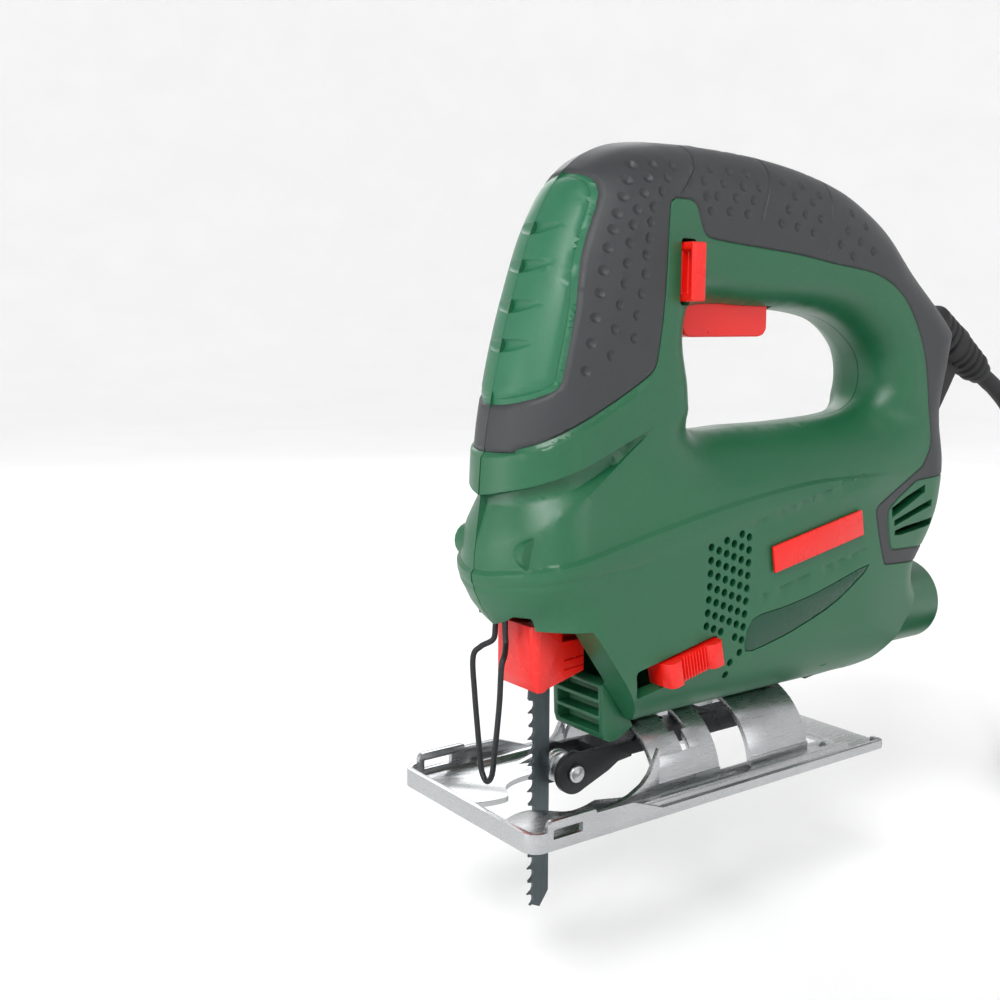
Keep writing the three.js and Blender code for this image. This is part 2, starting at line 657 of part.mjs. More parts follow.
function trigger() {
  const side = [[48, 151], [52, 147.9], [86, 147.9], [88, 150], [88, 160.5], [82, 164], [48, 164]];
  return sideSlab(side, -8.2, 8.2);
}
place('trigger', trigger(), 'red');
place('trigger_spring', pipe('z', 164.3, 168.4, 60, 0, 3.2, 2.2, 16), 'steel');
place('switch_module', block(54, 100, -9.5, 9.5, 172.6, 192), 'blackPlastic');

function lockButton() {
  const body = block(34.4, 40.2, -26, -13.5, 159.2, 177.4);
  return body.subtract(block(34, 37.4, -24.4, -20.6, 161.5, 175));
}
place('lock_button', lockButton(), 'red');

function blowerSlider() {
  const SLOT_REAR = 49.4;
  const LENGTH = 27;
  const front = SLOT_REAR - LENGTH;
  const foot = block(front, SLOT_REAR, -26.6, -20, 39.4, 47.6);
  const ends = block(front, front + 7, -30.8, -26.4, 39.4, 47.6).add(
    block(SLOT_REAR - 7, SLOT_REAR, -30.8, -26.4, 39.4, 47.6),
  );
  let slider = foot.add(ends).add(block(front + 6, SLOT_REAR - 6, -28.6, -26.4, 39.4, 47.6));
  for (let rib = 0; rib < 6; rib += 1) {
    const x = front + 8.2 + rib * 2;
    slider = slider.add(block(x, x + 0.9, -29.4, -28.4, 39.4, 47.6));
  }
  return slider.translate([-32, 0, -43.5]).rotate([0, -BLOWER_SLANT, 0]).translate([32, 0, 43.5]);
}
place('blower_slider', blowerSlider(), 'red');

// ---- cord ----

function strainRelief() {
  const rings = [];
  for (let i = 0; i < 6; i += 1) {
    const start = 22.5 + i * 6.6;
    const radius = 8.8 - i * 0.42;
    rings.push([radius, start], [radius, start + 4], [radius - 1.5, start + 4.6], [radius - 1.5, start + 6]);
  }
  const profile = [[CORD_RADIUS + GAP, 6], [5.8, 6], [5.8, 21.8], ...rings, [5, BOOT_END],
    [CORD_RADIUS + GAP, BOOT_END], [CORD_RADIUS + GAP, 6]];
  const hook = sideSlab([[195, 146], [211, 137], [203, 124], [196, 114], [192.5, 116], [193.5, 130]], -2, 2);
  return turnedOnCord(profile, 12).add(hook.subtract(turnedOnCord([[0, 0], [5.5, 0], [5.5, 70], [0, 70]], 16)));
}
place('strain_relief', strainRelief(), 'rubber');

// From inside the strain relief it falls beside the coil to the floor and joins its lowest, outermost turn.
const COIL_TOP = FLOOR + COIL_HEIGHT;
const OUTER_TURN = COIL_RADIUS + COIL_HALF - CORD_RADIUS;

function cordLead() {
  const LYING = FLOOR + CORD_RADIUS;
  const route = [
    alongCord(10), alongCord(40), alongCord(66), [240, 0, 125.3], [250.2, -0.4, 117.5], [257.2, -1.2, 108],
    [261.4, -2.4, 97.3], [262.9, -3, 85.5], [264, -2.6, 62], [265.2, -2, 38], [266.3, -1.6, 14], [267.2, -1.7, -8],
    [267.8, -2, -22], [268.1, -3.3, -31], [268.5, -6.7, -39.2], [269.1, -12.1, -46.1], [270, -19.1, -51.4],
    [271.7, -27.4, -54.9], [273.4, -35.5, LYING], [275, -40, LYING],
  ];
  return roundTube(route, CORD_RADIUS, 8, 36);
}
place('cord_lead', cordLead(), 'rubber');

function cordCoil() {
  const inner = COIL_RADIUS - COIL_HALF;
  const outer = COIL_RADIUS + COIL_HALF;
  const section = [[inner, FLOOR], [outer, FLOOR], [outer, COIL_TOP], [inner, COIL_TOP], [inner, FLOOR]];
  return lathe(section, 32).rotate([90, 0, 0]).translate([COIL_X, COIL_Y, 0]);
}
place('cord_coil', cordCoil(), 'rubber');

function coilTie() {
  const TIE_ANGLE = 155;         // round the coil from +X
  const clear = COIL_HALF + 3 * GAP;
  const band = block(COIL_RADIUS - clear - 1.8, COIL_RADIUS + clear + 1.8, -4, 4, FLOOR, COIL_TOP + GAP + 1.8)
    .subtract(block(COIL_RADIUS - clear, COIL_RADIUS + clear, -9, 9, FLOOR - 1, COIL_TOP + GAP));
  return band.rotate([0, 0, TIE_ANGLE]).translate([COIL_X, COIL_Y, 0]);
}
place('coil_tie', coilTie(), 'blackPlastic');

// The far end leaves the top layer and turns across it to the plug, which lies on the coil.
const TAIL_TURN = 36;
const TAIL_X = COIL_X - 4.45;
const TAIL_Y = COIL_Y - 7.7;
const PLUG_X = TAIL_X + TAIL_TURN;
const PLUG_Y = TAIL_Y + 2.7;
const PLUG_Z = COIL_TOP + 12 + GAP;
const PLUG_LENGTH = 42;
const PIN_LENGTH = 19;

function cordTail() {
  const lying = COIL_TOP + CORD_RADIUS + GAP;
  const heights = [lying, lying, lying + 0.9, lying + 3.1, lying + 5.2, lying + 6.8, lying + 7.8, PLUG_Z];
  const route = heights.map((height, i) => {
    const angle = ((255 + 15 * i) * Math.PI) / 180;
    return [TAIL_X + TAIL_TURN * Math.cos(angle), TAIL_Y + TAIL_TURN * Math.sin(angle), height];
  });
  return roundTube([...route, [PLUG_X, PLUG_Y - 0.5, PLUG_Z]], CORD_RADIUS, 8, 12);
}
place('cord_tail', cordTail(), 'rubber');

function plugBody() {
  const WIDER = 1.4;             // across the pins
  const profile = [[0, 0], [5.4, 0], [7, 14], [12, 22], [12, PLUG_LENGTH], [0, PLUG_LENGTH]];
  return lathe(profile, 20).scale([WIDER, 1, 1]).translate([PLUG_X, PLUG_Y, PLUG_Z]);
}
place('plug_body', plugBody(), 'rubber');

function plugPin(x) {
  const root = PLUG_Y + PLUG_LENGTH + GAP;
  return bar('y', root, root + PIN_LENGTH, x, PLUG_Z, 2.4, 12);
}
place('plug_pin_1', plugPin(PLUG_X - 9.5), 'brass');
place('plug_pin_2', plugPin(PLUG_X + 9.5), 'brass');

export default tool;
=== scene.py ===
import math

import bmesh
import bpy
import numpy as np
from mathutils import Matrix, Vector
from mathutils.geometry import delaunay_2d_cdt


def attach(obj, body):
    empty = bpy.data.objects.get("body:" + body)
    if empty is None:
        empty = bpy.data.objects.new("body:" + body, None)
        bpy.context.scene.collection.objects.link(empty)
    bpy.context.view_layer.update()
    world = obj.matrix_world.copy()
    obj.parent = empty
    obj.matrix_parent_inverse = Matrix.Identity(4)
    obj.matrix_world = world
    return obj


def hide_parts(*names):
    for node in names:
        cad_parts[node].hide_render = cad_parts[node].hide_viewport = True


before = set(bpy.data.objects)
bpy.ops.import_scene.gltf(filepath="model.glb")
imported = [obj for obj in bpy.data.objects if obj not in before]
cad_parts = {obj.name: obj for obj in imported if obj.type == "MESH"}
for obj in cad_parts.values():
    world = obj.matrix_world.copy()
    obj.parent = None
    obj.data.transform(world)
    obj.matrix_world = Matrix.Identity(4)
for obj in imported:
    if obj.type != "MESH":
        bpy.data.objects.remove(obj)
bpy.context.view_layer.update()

# Lengths in this script are in millimetres in the CAD frame, until a mesh or curve is made.
# x = 0 is the back of the blade, y = 0 the seam of the housing, z = 0 the sole; the near side is y < 0.
MM = 0.001
GAP = 0.3
WALL = 3.8
SKIN = 1.7
SEAM = -0.15
FLOOR = -60

scene = bpy.context.scene


# ---- materials ----

def shader(name, color, roughness, metallic=0.0, specular=0.5):
    """A material with a Principled shader. Returns it with its node tree and the shader node."""
    material = bpy.data.materials.new(name)
    material.use_nodes = True
    tree = material.node_tree
    shade = tree.nodes["Principled BSDF"]
    shade.inputs["Base Color"].default_value = (*color, 1)
    shade.inputs["Roughness"].default_value = roughness
    shade.inputs["Metallic"].default_value = metallic
    shade.inputs["Specular IOR Level"].default_value = specular
    return material, tree, shade


def node(tree, kind, **values):
    made = tree.nodes.new(kind)
    for key, value in values.items():
        if key in made.inputs:
            made.inputs[key].default_value = value
        else:
            setattr(made, key, value)
    return made


def noise(tree, scale, detail, stretch=(1, 1, 1)):
    where = node(tree, "ShaderNodeTexCoord")
    place = node(tree, "ShaderNodeMapping")
    place.inputs["Scale"].default_value = stretch
    made = node(tree, "ShaderNodeTexNoise", Scale=scale, Detail=detail, Roughness=0.6)
    tree.links.new(where.outputs["Object"], place.inputs["Vector"])
    tree.links.new(place.outputs["Vector"], made.inputs["Vector"])
    return made.outputs["Fac"]


def ramp(tree, source, stops):
    made = node(tree, "ShaderNodeValToRGB")
    band = made.color_ramp
    while len(band.elements) < len(stops):
        band.elements.new(0.5)
    for element, (position, color) in zip(band.elements, stops):
        element.position = position
        element.color = (*color, 1)
    tree.links.new(source, made.inputs["Fac"])
    return made.outputs["Color"]


def grey(value):
    return (value, value, value)


def bump(tree, shade, source, strength, distance):
    made = node(tree, "ShaderNodeBump", Strength=strength, Distance=distance)
    tree.links.new(source, made.inputs["Height"])
    if shade.inputs["Normal"].is_linked:
        tree.links.new(shade.inputs["Normal"].links[0].from_socket, made.inputs["Normal"])
    tree.links.new(made.outputs["Normal"], shade.inputs["Normal"])


def moulded(name, color, roughness, speck=0.12, grain=2600, depth=0.00004, strength=0.5, specular=0.5):
    """Spark-eroded moulded plastic: a fine even grain, with a slow change of tone and of gloss."""
    material, tree, shade = shader(name, color, roughness, specular=specular)
    dark = tuple(c * (1 - speck) for c in color)
    light = tuple(min(1, c * (1 + speck)) for c in color)
    fine = noise(tree, grain, 2.0)
    slow = noise(tree, 26, 4.0)
    blend = node(tree, "ShaderNodeMix", data_type="RGBA")
    blend.inputs[0].default_value = 0.35
    tree.links.new(ramp(tree, fine, [(0.32, dark), (0.68, light)]), blend.inputs[6])
    tree.links.new(ramp(tree, slow, [(0.3, dark), (0.7, light)]), blend.inputs[7])
    tree.links.new(blend.outputs[2], shade.inputs["Base Color"])
    low, high = max(0.05, roughness - 0.07), min(1, roughness + 0.07)
    tree.links.new(ramp(tree, slow, [(0.3, grey(low)), (0.7, grey(high))]), shade.inputs["Roughness"])
    bump(tree, shade, fine, strength, depth)
    return material


def metal(name, color, roughness, stretch=(1, 1, 1), scratch=0.35, scale=1200, metallic=1.0, depth=0.000005):
    """Worked steel: streaks along one direction, with stains and small changes of polish."""
    material, tree, shade = shader(name, color, roughness, metallic)
    streak = noise(tree, scale, 4.0, stretch)
    stain = noise(tree, 45, 5.0)
    dark = tuple(c * (1 - 0.25 * scratch) for c in color)
    light = tuple(min(1, c * (1 + 0.2 * scratch)) for c in color)
    tree.links.new(ramp(tree, stain, [(0.3, dark), (0.7, light)]), shade.inputs["Base Color"])
    low, high = max(0.04, roughness - 0.2 * scratch), min(1, roughness + 0.3 * scratch)
    tree.links.new(ramp(tree, streak, [(0.3, grey(low)), (0.7, grey(high))]), shade.inputs["Roughness"])
    bump(tree, shade, streak, scratch, depth)
    return material


GREEN = moulded("moulded_green", (0.009, 0.098, 0.040), 0.38, 0.14, 2300, 0.00004, 0.3)
PANEL_GREEN = moulded("polished_green", (0.005, 0.052, 0.026), 0.3, 0.05, 2300, 0.00001, 0.2, 0.4)
SOFT_GREEN = moulded("soft_green_pad", (0.012, 0.120, 0.055), 0.42, 0.12, 3200, 0.00003, 0.3)
GRIP = moulded("soft_grey_grip", (0.028, 0.030, 0.033), 0.5, 0.16, 3000, 0.00004, 0.5, 0.45)
RED = moulded("moulded_red", (0.74, 0.008, 0.004), 0.3, 0.06, 2600, 0.00002, 0.2)
SHEET_STEEL = metal("zinc_plated_sheet", (0.46, 0.47, 0.48), 0.28, (0.1, 1, 1), 0.25, 1500, 1.0, 0.000003)
STEEL = metal("turned_steel", (0.50, 0.51, 0.52), 0.32, (1, 0.1, 1), 0.4)
BLACK_STEEL = metal("black_oxide_steel", (0.035, 0.037, 0.040), 0.42, (1, 1, 1), 0.5, 900, 0.8)
BLADE = metal("blued_blade_steel", (0.080, 0.098, 0.105), 0.38, (1, 1, 0.08), 0.6, 1100, 0.9)
COPPER = metal("wound_copper", (0.62, 0.27, 0.11), 0.35, (1, 0.2, 0.2), 0.5)
BRONZE = metal("sintered_bronze", (0.48, 0.30, 0.12), 0.45, (1, 1, 1), 0.6, 1500)
CAST = metal("cast_aluminium", (0.55, 0.56, 0.57), 0.5, (1, 1, 1), 0.8, 900, 0.9, 0.00006)
BRASS = metal("drawn_brass", (0.66, 0.46, 0.16), 0.3, (1, 0.2, 1), 0.4)
BLACK = moulded("black_plastic", (0.014, 0.014, 0.015), 0.5, 0.2, 2600, 0.00003, 0.4)
RUBBER = moulded("cord_rubber", (0.012, 0.012, 0.013), 0.58, 0.25, 3400, 0.00003, 0.5, 0.4)


# ---- lines and points of the side view ----

def smooth(points, steps, closed=False):
    """A Catmull-Rom curve through the points, with that many steps to a span."""
    p = np.array(points, float)
    if closed:
        p = np.vstack([p[-1], p, p[0], p[1]])
    else:
        p = np.vstack([2 * p[0] - p[1], p, 2 * p[-1] - p[-2]])
    t = np.linspace(0, 1, steps, endpoint=False)[:, None]
    spans = [
        0.5 * (2 * b + (c - a) * t + (2 * a - 5 * b + 4 * c - d) * t**2 + (3 * b - a - 3 * c + d) * t**3)
        for a, b, c, d in zip(p[:-3], p[1:-2], p[2:-1], p[3:])
    ]
    return np.vstack(spans if closed else spans + [p[-2:-1]])


def dense(line, step, closed=True):
    """The same line with points at most that far apart."""
    line = np.array(line, float)
    ends = np.roll(line, -1, 0) if closed else line[1:]
    found = []
    for a, b in zip(line, ends):
        count = max(1, math.ceil(np.hypot(*(b - a)) / step))
        found += [a + (b - a) * i / count for i in range(count)]
    if not closed:
        found.append(line[-1])
    return np.array(found)


def inset(line, depth):
    """A closed line moved inwards by that much, or outwards if it is below 0."""
    p = np.array(line, float)
    before = np.roll(p, 1, 0)
    after = np.roll(p, -1, 0)
    area = (p[:, 0] * after[:, 1] - after[:, 0] * p[:, 1]).sum()
    u = p - before
    v = after - p
    u /= np.hypot(*u.T)[:, None]
    v /= np.hypot(*v.T)[:, None]
    turn = np.maximum(1 + (u * v).sum(1), 0.6)[:, None]
    side = math.copysign(depth, area)
    return p + side * np.c_[-(u[:, 1] + v[:, 1]), u[:, 0] + v[:, 0]] / turn


def distance_to(line, x, z, closed=False):
    a = line if closed else line[:-1]
    b = np.roll(line, -1, 0) if closed else line[1:]
    d = b - a
    px = np.asarray(x, float)[..., None] - a[:, 0]
    pz = np.asarray(z, float)[..., None] - a[:, 1]
    t = np.clip((px * d[:, 0] + pz * d[:, 1]) / (d**2).sum(1), 0, 1)
    return np.hypot(px - t * d[:, 0], pz - t * d[:, 1]).min(-1)


def inside(line, x, z):
    x = np.asarray(x, float)[..., None]
    z = np.asarray(z, float)[..., None]
    a = np.array(line, float)
    b = np.roll(a, -1, 0)
    rise = np.where(b[:, 1] == a[:, 1], 1, b[:, 1] - a[:, 1])
    cross = ((a[:, 1] > z) != (b[:, 1] > z)) & (x < a[:, 0] + (b[:, 0] - a[:, 0]) * (z - a[:, 1]) / rise)
    return cross.sum(-1) % 2 == 1


def ease(value, low, high):
    t = np.clip((value - low) / (high - low), 0, 1)
    return t * t * (3 - 2 * t)


def mix(a, b, t):
    return a + (b - a) * t


def round_off(distance, radius, sharp=0.0):
    """0 at an edge and 1 from radius inwards, on a quarter circle. sharp is the sine that it starts with."""
    t = np.clip(distance / radius, 0, 1)
    return (np.sqrt(1 - (1 - sharp**2) * (1 - t) ** 2) - sharp) / (1 - sharp)


NOSE_BOTTOM = 60
CROWN = smooth([
    (-22, NOSE_BOTTOM), (-27, 67), (-29.4, 77), (-28.6, 88), (-27, 100), (-25.8, 114), (-23.5, 128),
    (-19.5, 146), (-14.5, 163), (-7.5, 182), (2, 197), (14, 205.5), (30, 209.3), (57, 210), (84, 208.5),
    (108, 205), (128, 199.5), (148, 189), (166, 173.5), (186, 158), (192.5, 150), (191, 138), (186.5, 118),
    (185.5, 100), (183, 82), (177, 69), (168, 58),
], 8)
BELLY = dense([(168, 58), (150, 40), (138, 28), (122, 23.5), (102, 21), (30, 19), (20.5, 26), (-3.6, 60),
    (-22, NOSE_BOTTOM)], 3, False)[1:-1]
OUTLINE = np.vstack([CROWN, BELLY])
HOLE = smooth([
    (52, 118), (46, 136), (43.5, 150), (50, 157.5), (80, 157.5), (110, 156.8), (131, 152), (146, 141),
    (148, 128), (138, 120), (112, 117.5), (80, 117),
], 8, True)


def belt(x):
    """Height of the ridge that runs round the body from the nose to the rear."""
    return 98.6 - 21 * (1 - np.clip((x + 29) / 130, 0, 1)) ** 1.5


def half_width(x, z):
    grip = mix(22.5, 18.5, ease(x, 20, 60))
    casing = mix(27, 23, ease(x, 120, 175))
    line = belt(x)
    width = mix(casing, grip, ease(z, line - 4, line + 26))
    front = 1 - ease(x, -5, 25)
    within_line = inside(OUTLINE, x, z) | (distance_to(BELLY, x, z) < 0.1)
    edge = np.where(within_line, distance_to(CROWN, x, z), 0)
    prow = front * mix(0.17, 0.06, ease(z, 100, 128))
    width = width * round_off(edge, mix(18, 24, front), prow)
    rim = np.where(inside(HOLE, x, z), 0, distance_to(HOLE, x, z, True))
    width = width * round_off(rim + 0.8, mix(22, 12, ease(z, 116, 126)))
    low = mix(27, 11 + 16 * round_off(z - 24, 24), ease(x, 4, 20))
    width = np.minimum(width, low)
    return np.maximum(width, 0.02)


# ---- fine relief of the body ----

LIP_TOP = np.array([(-60, 113.6), (-25.7, 113.6), (-23.6, 114.2), (-16, 116.7), (-5.5, 121.9),
    (10.1, 129.6), (23.5, 137)])
LIP_BOTTOM = np.array([(-60, 101), (-26.8, 101), (-24.5, 102.5), (-14.2, 106.4), (-0.8, 111.6),
    (10.4, 116.2), (23, 121)])
GROOVE = np.array([(-60, 98.4), (-26.8, 98.4), (-23.3, 99), (-14.4, 101.3), (-4.1, 104.7), (8.8, 110.3),
    (23, 120.6)])
CRESCENT = np.array([(-60, 84.9), (-28.8, 84.9), (-27.2, 86.2), (-19.6, 91.2), (-10.4, 97.3), (2.1, 105.2),
    (15.4, 114.9), (23, 120)])
CREASE = np.array([(-60, 73.1), (-28.7, 73.1), (-23.2, 74.8), (-8.6, 77.1), (14.1, 78.5), (30, 80.5)])
RIB_TOP = np.array([(57.7, 86), (77.8, 90.7), (98.9, 95.2), (114.1, 98.4), (128, 101)])
RIB_LOW = np.array([(57.7, 81), (64.4, 82.5), (85, 87.1), (106.5, 92.1), (126.6, 96.5)])
RIB2_TOP = np.array([(60, 60.6), (64.9, 61.5), (79.1, 64.1), (100.5, 68.4), (126.7, 73)])
RIB2_LOW = np.array([(60, 57.4), (65.7, 58.5), (86.4, 62.6), (108.2, 66.5), (127, 70)])
SCALLOP_HEIGHTS = (181, 169.4, 157.4, 145.6)
GRIP_SEAMS = [
    [(44.7, 209), (44.2, 205), (41.1, 199.9), (36.4, 195.1), (33, 192)],
    [(81, 208), (79.8, 204.4), (76.8, 196.8), (74.5, 191.5), (73, 186)],
    [(112, 203), (108.8, 192.9), (107.9, 185.6), (106, 178)],
]
DIMPLES = [
    (16.7, 199.7), (23.4, 200.2), (31.3, 200.2), (13.3, 194.8), (19.8, 195.8), (27.3, 196.3), (10.7, 189.7),
    (17.3, 191.2), (24.3, 191.9), (8.2, 184.7), (14.4, 186.1), (20.6, 187.1), (6.4, 180), (12.7, 181.5),
    (19.7, 182.7), (4.4, 174.5), (11.4, 176.2), (19.1, 177.9), (2.6, 167.9), (10.4, 170.2), (18.1, 172.8),
    (1.2, 161.4), (9.5, 164.2), (17.9, 167.2), (-0.5, 154.1), (7.8, 157.9), (16.5, 161.3), (-2.2, 146.5),
    (6, 150.7), (14.8, 154.9), (-4.1, 138.4), (4.7, 142.9), (13.8, 148), (44.9, 196.6), (49.5, 200.8),
    (54.6, 196.5), (58.8, 200.8), (63.8, 196.2), (67.1, 200.6), (71.6, 196.4), (45.5, 192), (51.2, 192.4),
    (60.2, 192.4), (68.4, 192), (47.9, 187.6), (57.4, 188), (65.7, 187.6), (84, 199.2), (89, 194.6),
    (98, 193.2), (94.2, 198.4), (102.5, 195.8), (85.4, 190.1), (93.8, 189), (101.8, 188), (82, 185.4),
    (90, 184.6), (98.2, 183.2), (119.5, 190.5), (126.8, 186.5), (116.2, 184.6), (123.4, 181), (130.6, 178),
    (112.6, 179.6), (119.6, 176),
]
DIMPLE_RADIUS = 1.7


def along(line, x):
    return np.interp(x, line[:, 0], line[:, 1])


def form_relief(x, z):
    """What stands proud of the plain green body, or below it where it is under 0."""
    tip = 1 - ease(x, 12, 23)
    top, low = along(LIP_TOP, x), along(LIP_BOTTOM, x)
    foot, shelf = along(GROOVE, x), along(CRESCENT, x)
    lip = 0.9 * ease(top - z, 0, 1.3) * tip
    cut = -2.4 * tip * np.clip((z - shelf) / np.maximum(foot - shelf, 0.5), 0, 1) ** 1.15
    rise = np.where(z > low - 0.2, lip, cut)
    ledge = ease(belt(x) + 0.8 - z, 0, 1.3) * (1 - ease(belt(x) - z, 3, 11))
    rise = rise + 1.15 * ledge * (1 - ease(x, 120, 150))
    rise = rise - 0.4 * np.exp(-(((z - along(CREASE, x)) / 0.8) ** 2)) * (1 - ease(x, 12, 26))
    for upper, lower, fade in ((RIB_TOP, RIB_LOW, (112, 126)), (RIB2_TOP, RIB2_LOW, (114, 127))):
        a, b = along(upper, x), along(lower, x)
        share = np.clip((z - b) / (a - b), 0, 1)
        ends = ease(x, 58, 70) * (1 - ease(x, *fade))
        rise = rise - 0.8 * share * (z < a) * (z > b) * ends
    return rise


def grip_relief(x, z):
    rise = np.zeros_like(x)
    for dx, dz in DIMPLES:
        r = np.hypot(x - dx, z - dz) / DIMPLE_RADIUS
        rise = rise - 1.05 * np.clip(1 - r**2, 0, 1)
    for seam in GRIP_SEAMS:
        line = smooth(seam, 5)
        rise = rise - 0.6 * np.clip(1 - distance_to(line, x, z) / 0.6, 0, 1)
    return rise


def palm_relief(x, z):
    """A fine groove round the pad, just inside its edge."""
    edge = distance_to(PALM, x, z, True)
    return -0.6 * np.exp(-(((edge - 1.9) / 0.4) ** 2))


# ---- regions ----

def run(points, steps=5):
    return list(smooth(points, steps))


PALM = dense(np.array(
    [(-60, 200)] + run([(0, 200), (3.6, 198.2), (5.6, 195.4), (5.2, 191)], 4)
    + run([(5.2, 191), (-2, 173.7), (-5.5, 156.3), (-9.8, 138.5)], 5)[1:]
    + run([(-9.8, 138.5), (-10.9, 134.8), (-13.6, 132), (-22.9, 128)], 4)[1:] + [(-60, 126)]), 2.2)
GRIP_REGION = dense(np.array(
    run([(-60, 113.6), (-25.8, 113.6), (-21, 115.3), (-12.7, 119), (-3.3, 123.8), (9.7, 130),
        (20, 135.6)], 5)
    + run([(20, 135.6), (23.4, 138.6), (25, 144), (27.4, 161.4), (28.6, 186), (29.4, 189),
        (31, 190.1)], 5)[1:]
    + run([(38, 190.1), (41, 188.4), (44.2, 181.8), (47, 179.4), (51, 178.6), (65.5, 177.3),
        (90, 175.3), (109, 172.8), (134.8, 169.3), (151, 160.7), (161.8, 145), (166, 131),
        (167.5, 118), (166, 108), (160, 101), (154.6, 98.2), (140, 92.6), (131, 88.6)], 4)
    + run([(131, 88.6), (128.6, 86.8), (128.2, 84.4), (130.6, 76), (134, 67)], 3)[1:]
    + run([(134, 67), (135.4, 65), (138, 64.4), (152.7, 63.4)], 3)[1:]
    + [(230, 58), (230, 68.5), (176, 68.5), (142, 70.2)]
    + run([(142, 70.2), (139.4, 71.4), (138, 76), (136.8, 82), (137.6, 85.4), (143, 88.8)], 3)[1:]
    + [(155, 94), (230, 97), (230, 240), (-60, 240)]), 2.2)

# The slot and the slider of the blower are turned about the slot's middle, by that many degrees.
SLOT_X, SLOT_Z = 32, 43.5
BLOWER_SLANT = 11.5


def slanted(x, z):
    """A point of the blower slot's own frame, turned about the middle of the slot."""
    c, s = math.cos(math.radians(BLOWER_SLANT)), math.sin(math.radians(BLOWER_SLANT))
    u, v = x - SLOT_X, z - SLOT_Z
    return (SLOT_X + u * c - v * s, SLOT_Z + u * s + v * c)


def rounded_box(x0, x1, z0, z1, radius, steps=4):
    found = []
    for cx, cz, start in ((x1 - radius, z0 + radius, -90), (x1 - radius, z1 - radius, 0),
            (x0 + radius, z1 - radius, 90), (x0 + radius, z0 + radius, 180)):
        for i in range(steps + 1):
            angle = math.radians(start + 90 * i / steps)
            found.append((cx + radius * math.cos(angle), cz + radius * math.sin(angle)))
    return found


BLOWER_SLOT = dense([slanted(*p) for p in rounded_box(14, 50, 38.6, 48.4, 1.6)], 3)
LOCK_SLOT = dense(rounded_box(33.6, 41, 158, 178.6, 1.2), 3)
NAME_RECESS = dense(smooth([(62.3, 44), (65, 54.6), (81, 57), (98.2, 60), (125.9, 66.6), (108.9, 55.4),
    (90.1, 48.9), (76, 45.4)], 3, True), 2.5)
VENT_PANEL = dense(smooth([(41, 85.5), (52, 86.5), (65, 88), (66, 75), (66, 60), (63.5, 47), (58, 36),
    (53, 32.5), (47, 34), (51, 39.5), (54.6, 45), (54, 50.4), (48, 50), (40.6, 50.6), (40, 56), (40.5, 70)],
    3, True), 2.5)
REAR_SLOTS = [
    [(138.4, 85.8), (138.9, 82.1), (149.7, 85.7), (161, 89.6), (161, 92.6), (148.2, 89.2)],
    [(140.4, 80.9), (140.6, 78.8), (147.3, 80.1), (166, 84), (166, 86.6), (146.5, 82.3)],
    [(141.2, 77.1), (140.9, 75.3), (145.8, 75), (168, 76.6), (168, 79.4), (147.5, 78)],
]


def circle(cx, cz, radius, count=10):
    turned = [2 * math.pi * i / count for i in range(count)]
    return [(cx + radius * math.cos(a), cz + radius * math.sin(a)) for a in turned]


VENT_RADIUS = 1.36
VENT_COLUMN, VENT_ROW = 3.5, 4.3


def vent_centres():
    """The middles of the air holes: staggered columns that bend forward below, where the panel has room."""
    found = []
    for column in range(-1, 7):
        for row in range(13):
            z = 81.2 + 0.75 * column - VENT_ROW * (row + 0.5 * (column % 2))
            x = 44.8 + VENT_COLUMN * column - 0.0022 * max(0, 80 - z) ** 2
            found.append((x, z))
    found = np.array(found)
    x, z = found.T
    clear = inside(VENT_PANEL, x, z) & (distance_to(VENT_PANEL, x, z, True) > 1.6)
    return found[clear & (distance_to(BLOWER_SLOT, x, z, True) > 2.2)]


SCREWS = [(-19, 84), (12, 186), (110, 186), (161, 113), (108, 36), (38, 108)]


# ---- a relief piece: side-view triangles lifted onto the body ----

def triangulate(loops, free):
    points, edges = [], []
    for line, closed in loops:
        start = len(points)
        points += [tuple(p) for p in line]
        count = len(line)
        edges += [(start + i, start + (i + 1) % count) for i in range(count if closed else count - 1)]
    points += [tuple(p) for p in free]
    spots, _, faces, *_ = delaunay_2d_cdt([Vector(p) for p in points], edges, [], 0, 0.01)
    return np.array([tuple(v) for v in spots]), [list(f) for f in faces]


def spread(step, low, high, keep_off, clear):
    """A staggered net of points, leaving out those nearer than clear to the points in keep_off."""
    rows = int((high[1] - low[1]) / (step * 0.87))
    found = [(low[0] + step * (i + 0.5 * (j % 2)), low[1] + step * 0.87 * j)
        for j in range(rows + 1) for i in range(int((high[0] - low[0]) / step) + 1)]
    found = np.array(found)
    kept = np.ones(len(found), bool)
    for start in range(0, len(found), 500):
        part = found[start:start + 500]
        gap = np.hypot(part[:, None, 0] - keep_off[None, :, 0],
            part[:, None, 1] - keep_off[None, :, 1]).min(1)
        kept[start:start + 500] = gap > clear
    return found[kept]


def edge_rings(line, depths, closed):
    """Points on both sides of a line, at each depth, where no other part of the line is nearer."""
    after = np.roll(line, -1, 0)
    before = np.roll(line, 1, 0)
    way = after - before
    if not closed:
        way[0], way[-1] = line[1] - line[0], line[-1] - line[-2]
    way /= np.hypot(*way.T)[:, None]
    found = []
    for depth in depths:
        for sign in (1, -1):
            p = line + sign * depth * np.c_[-way[:, 1], way[:, 0]]
            near = distance_to(line, p[:, 0], p[:, 1], closed)
            found.append(p[near > depth * 0.96])
    return np.vstack(found)


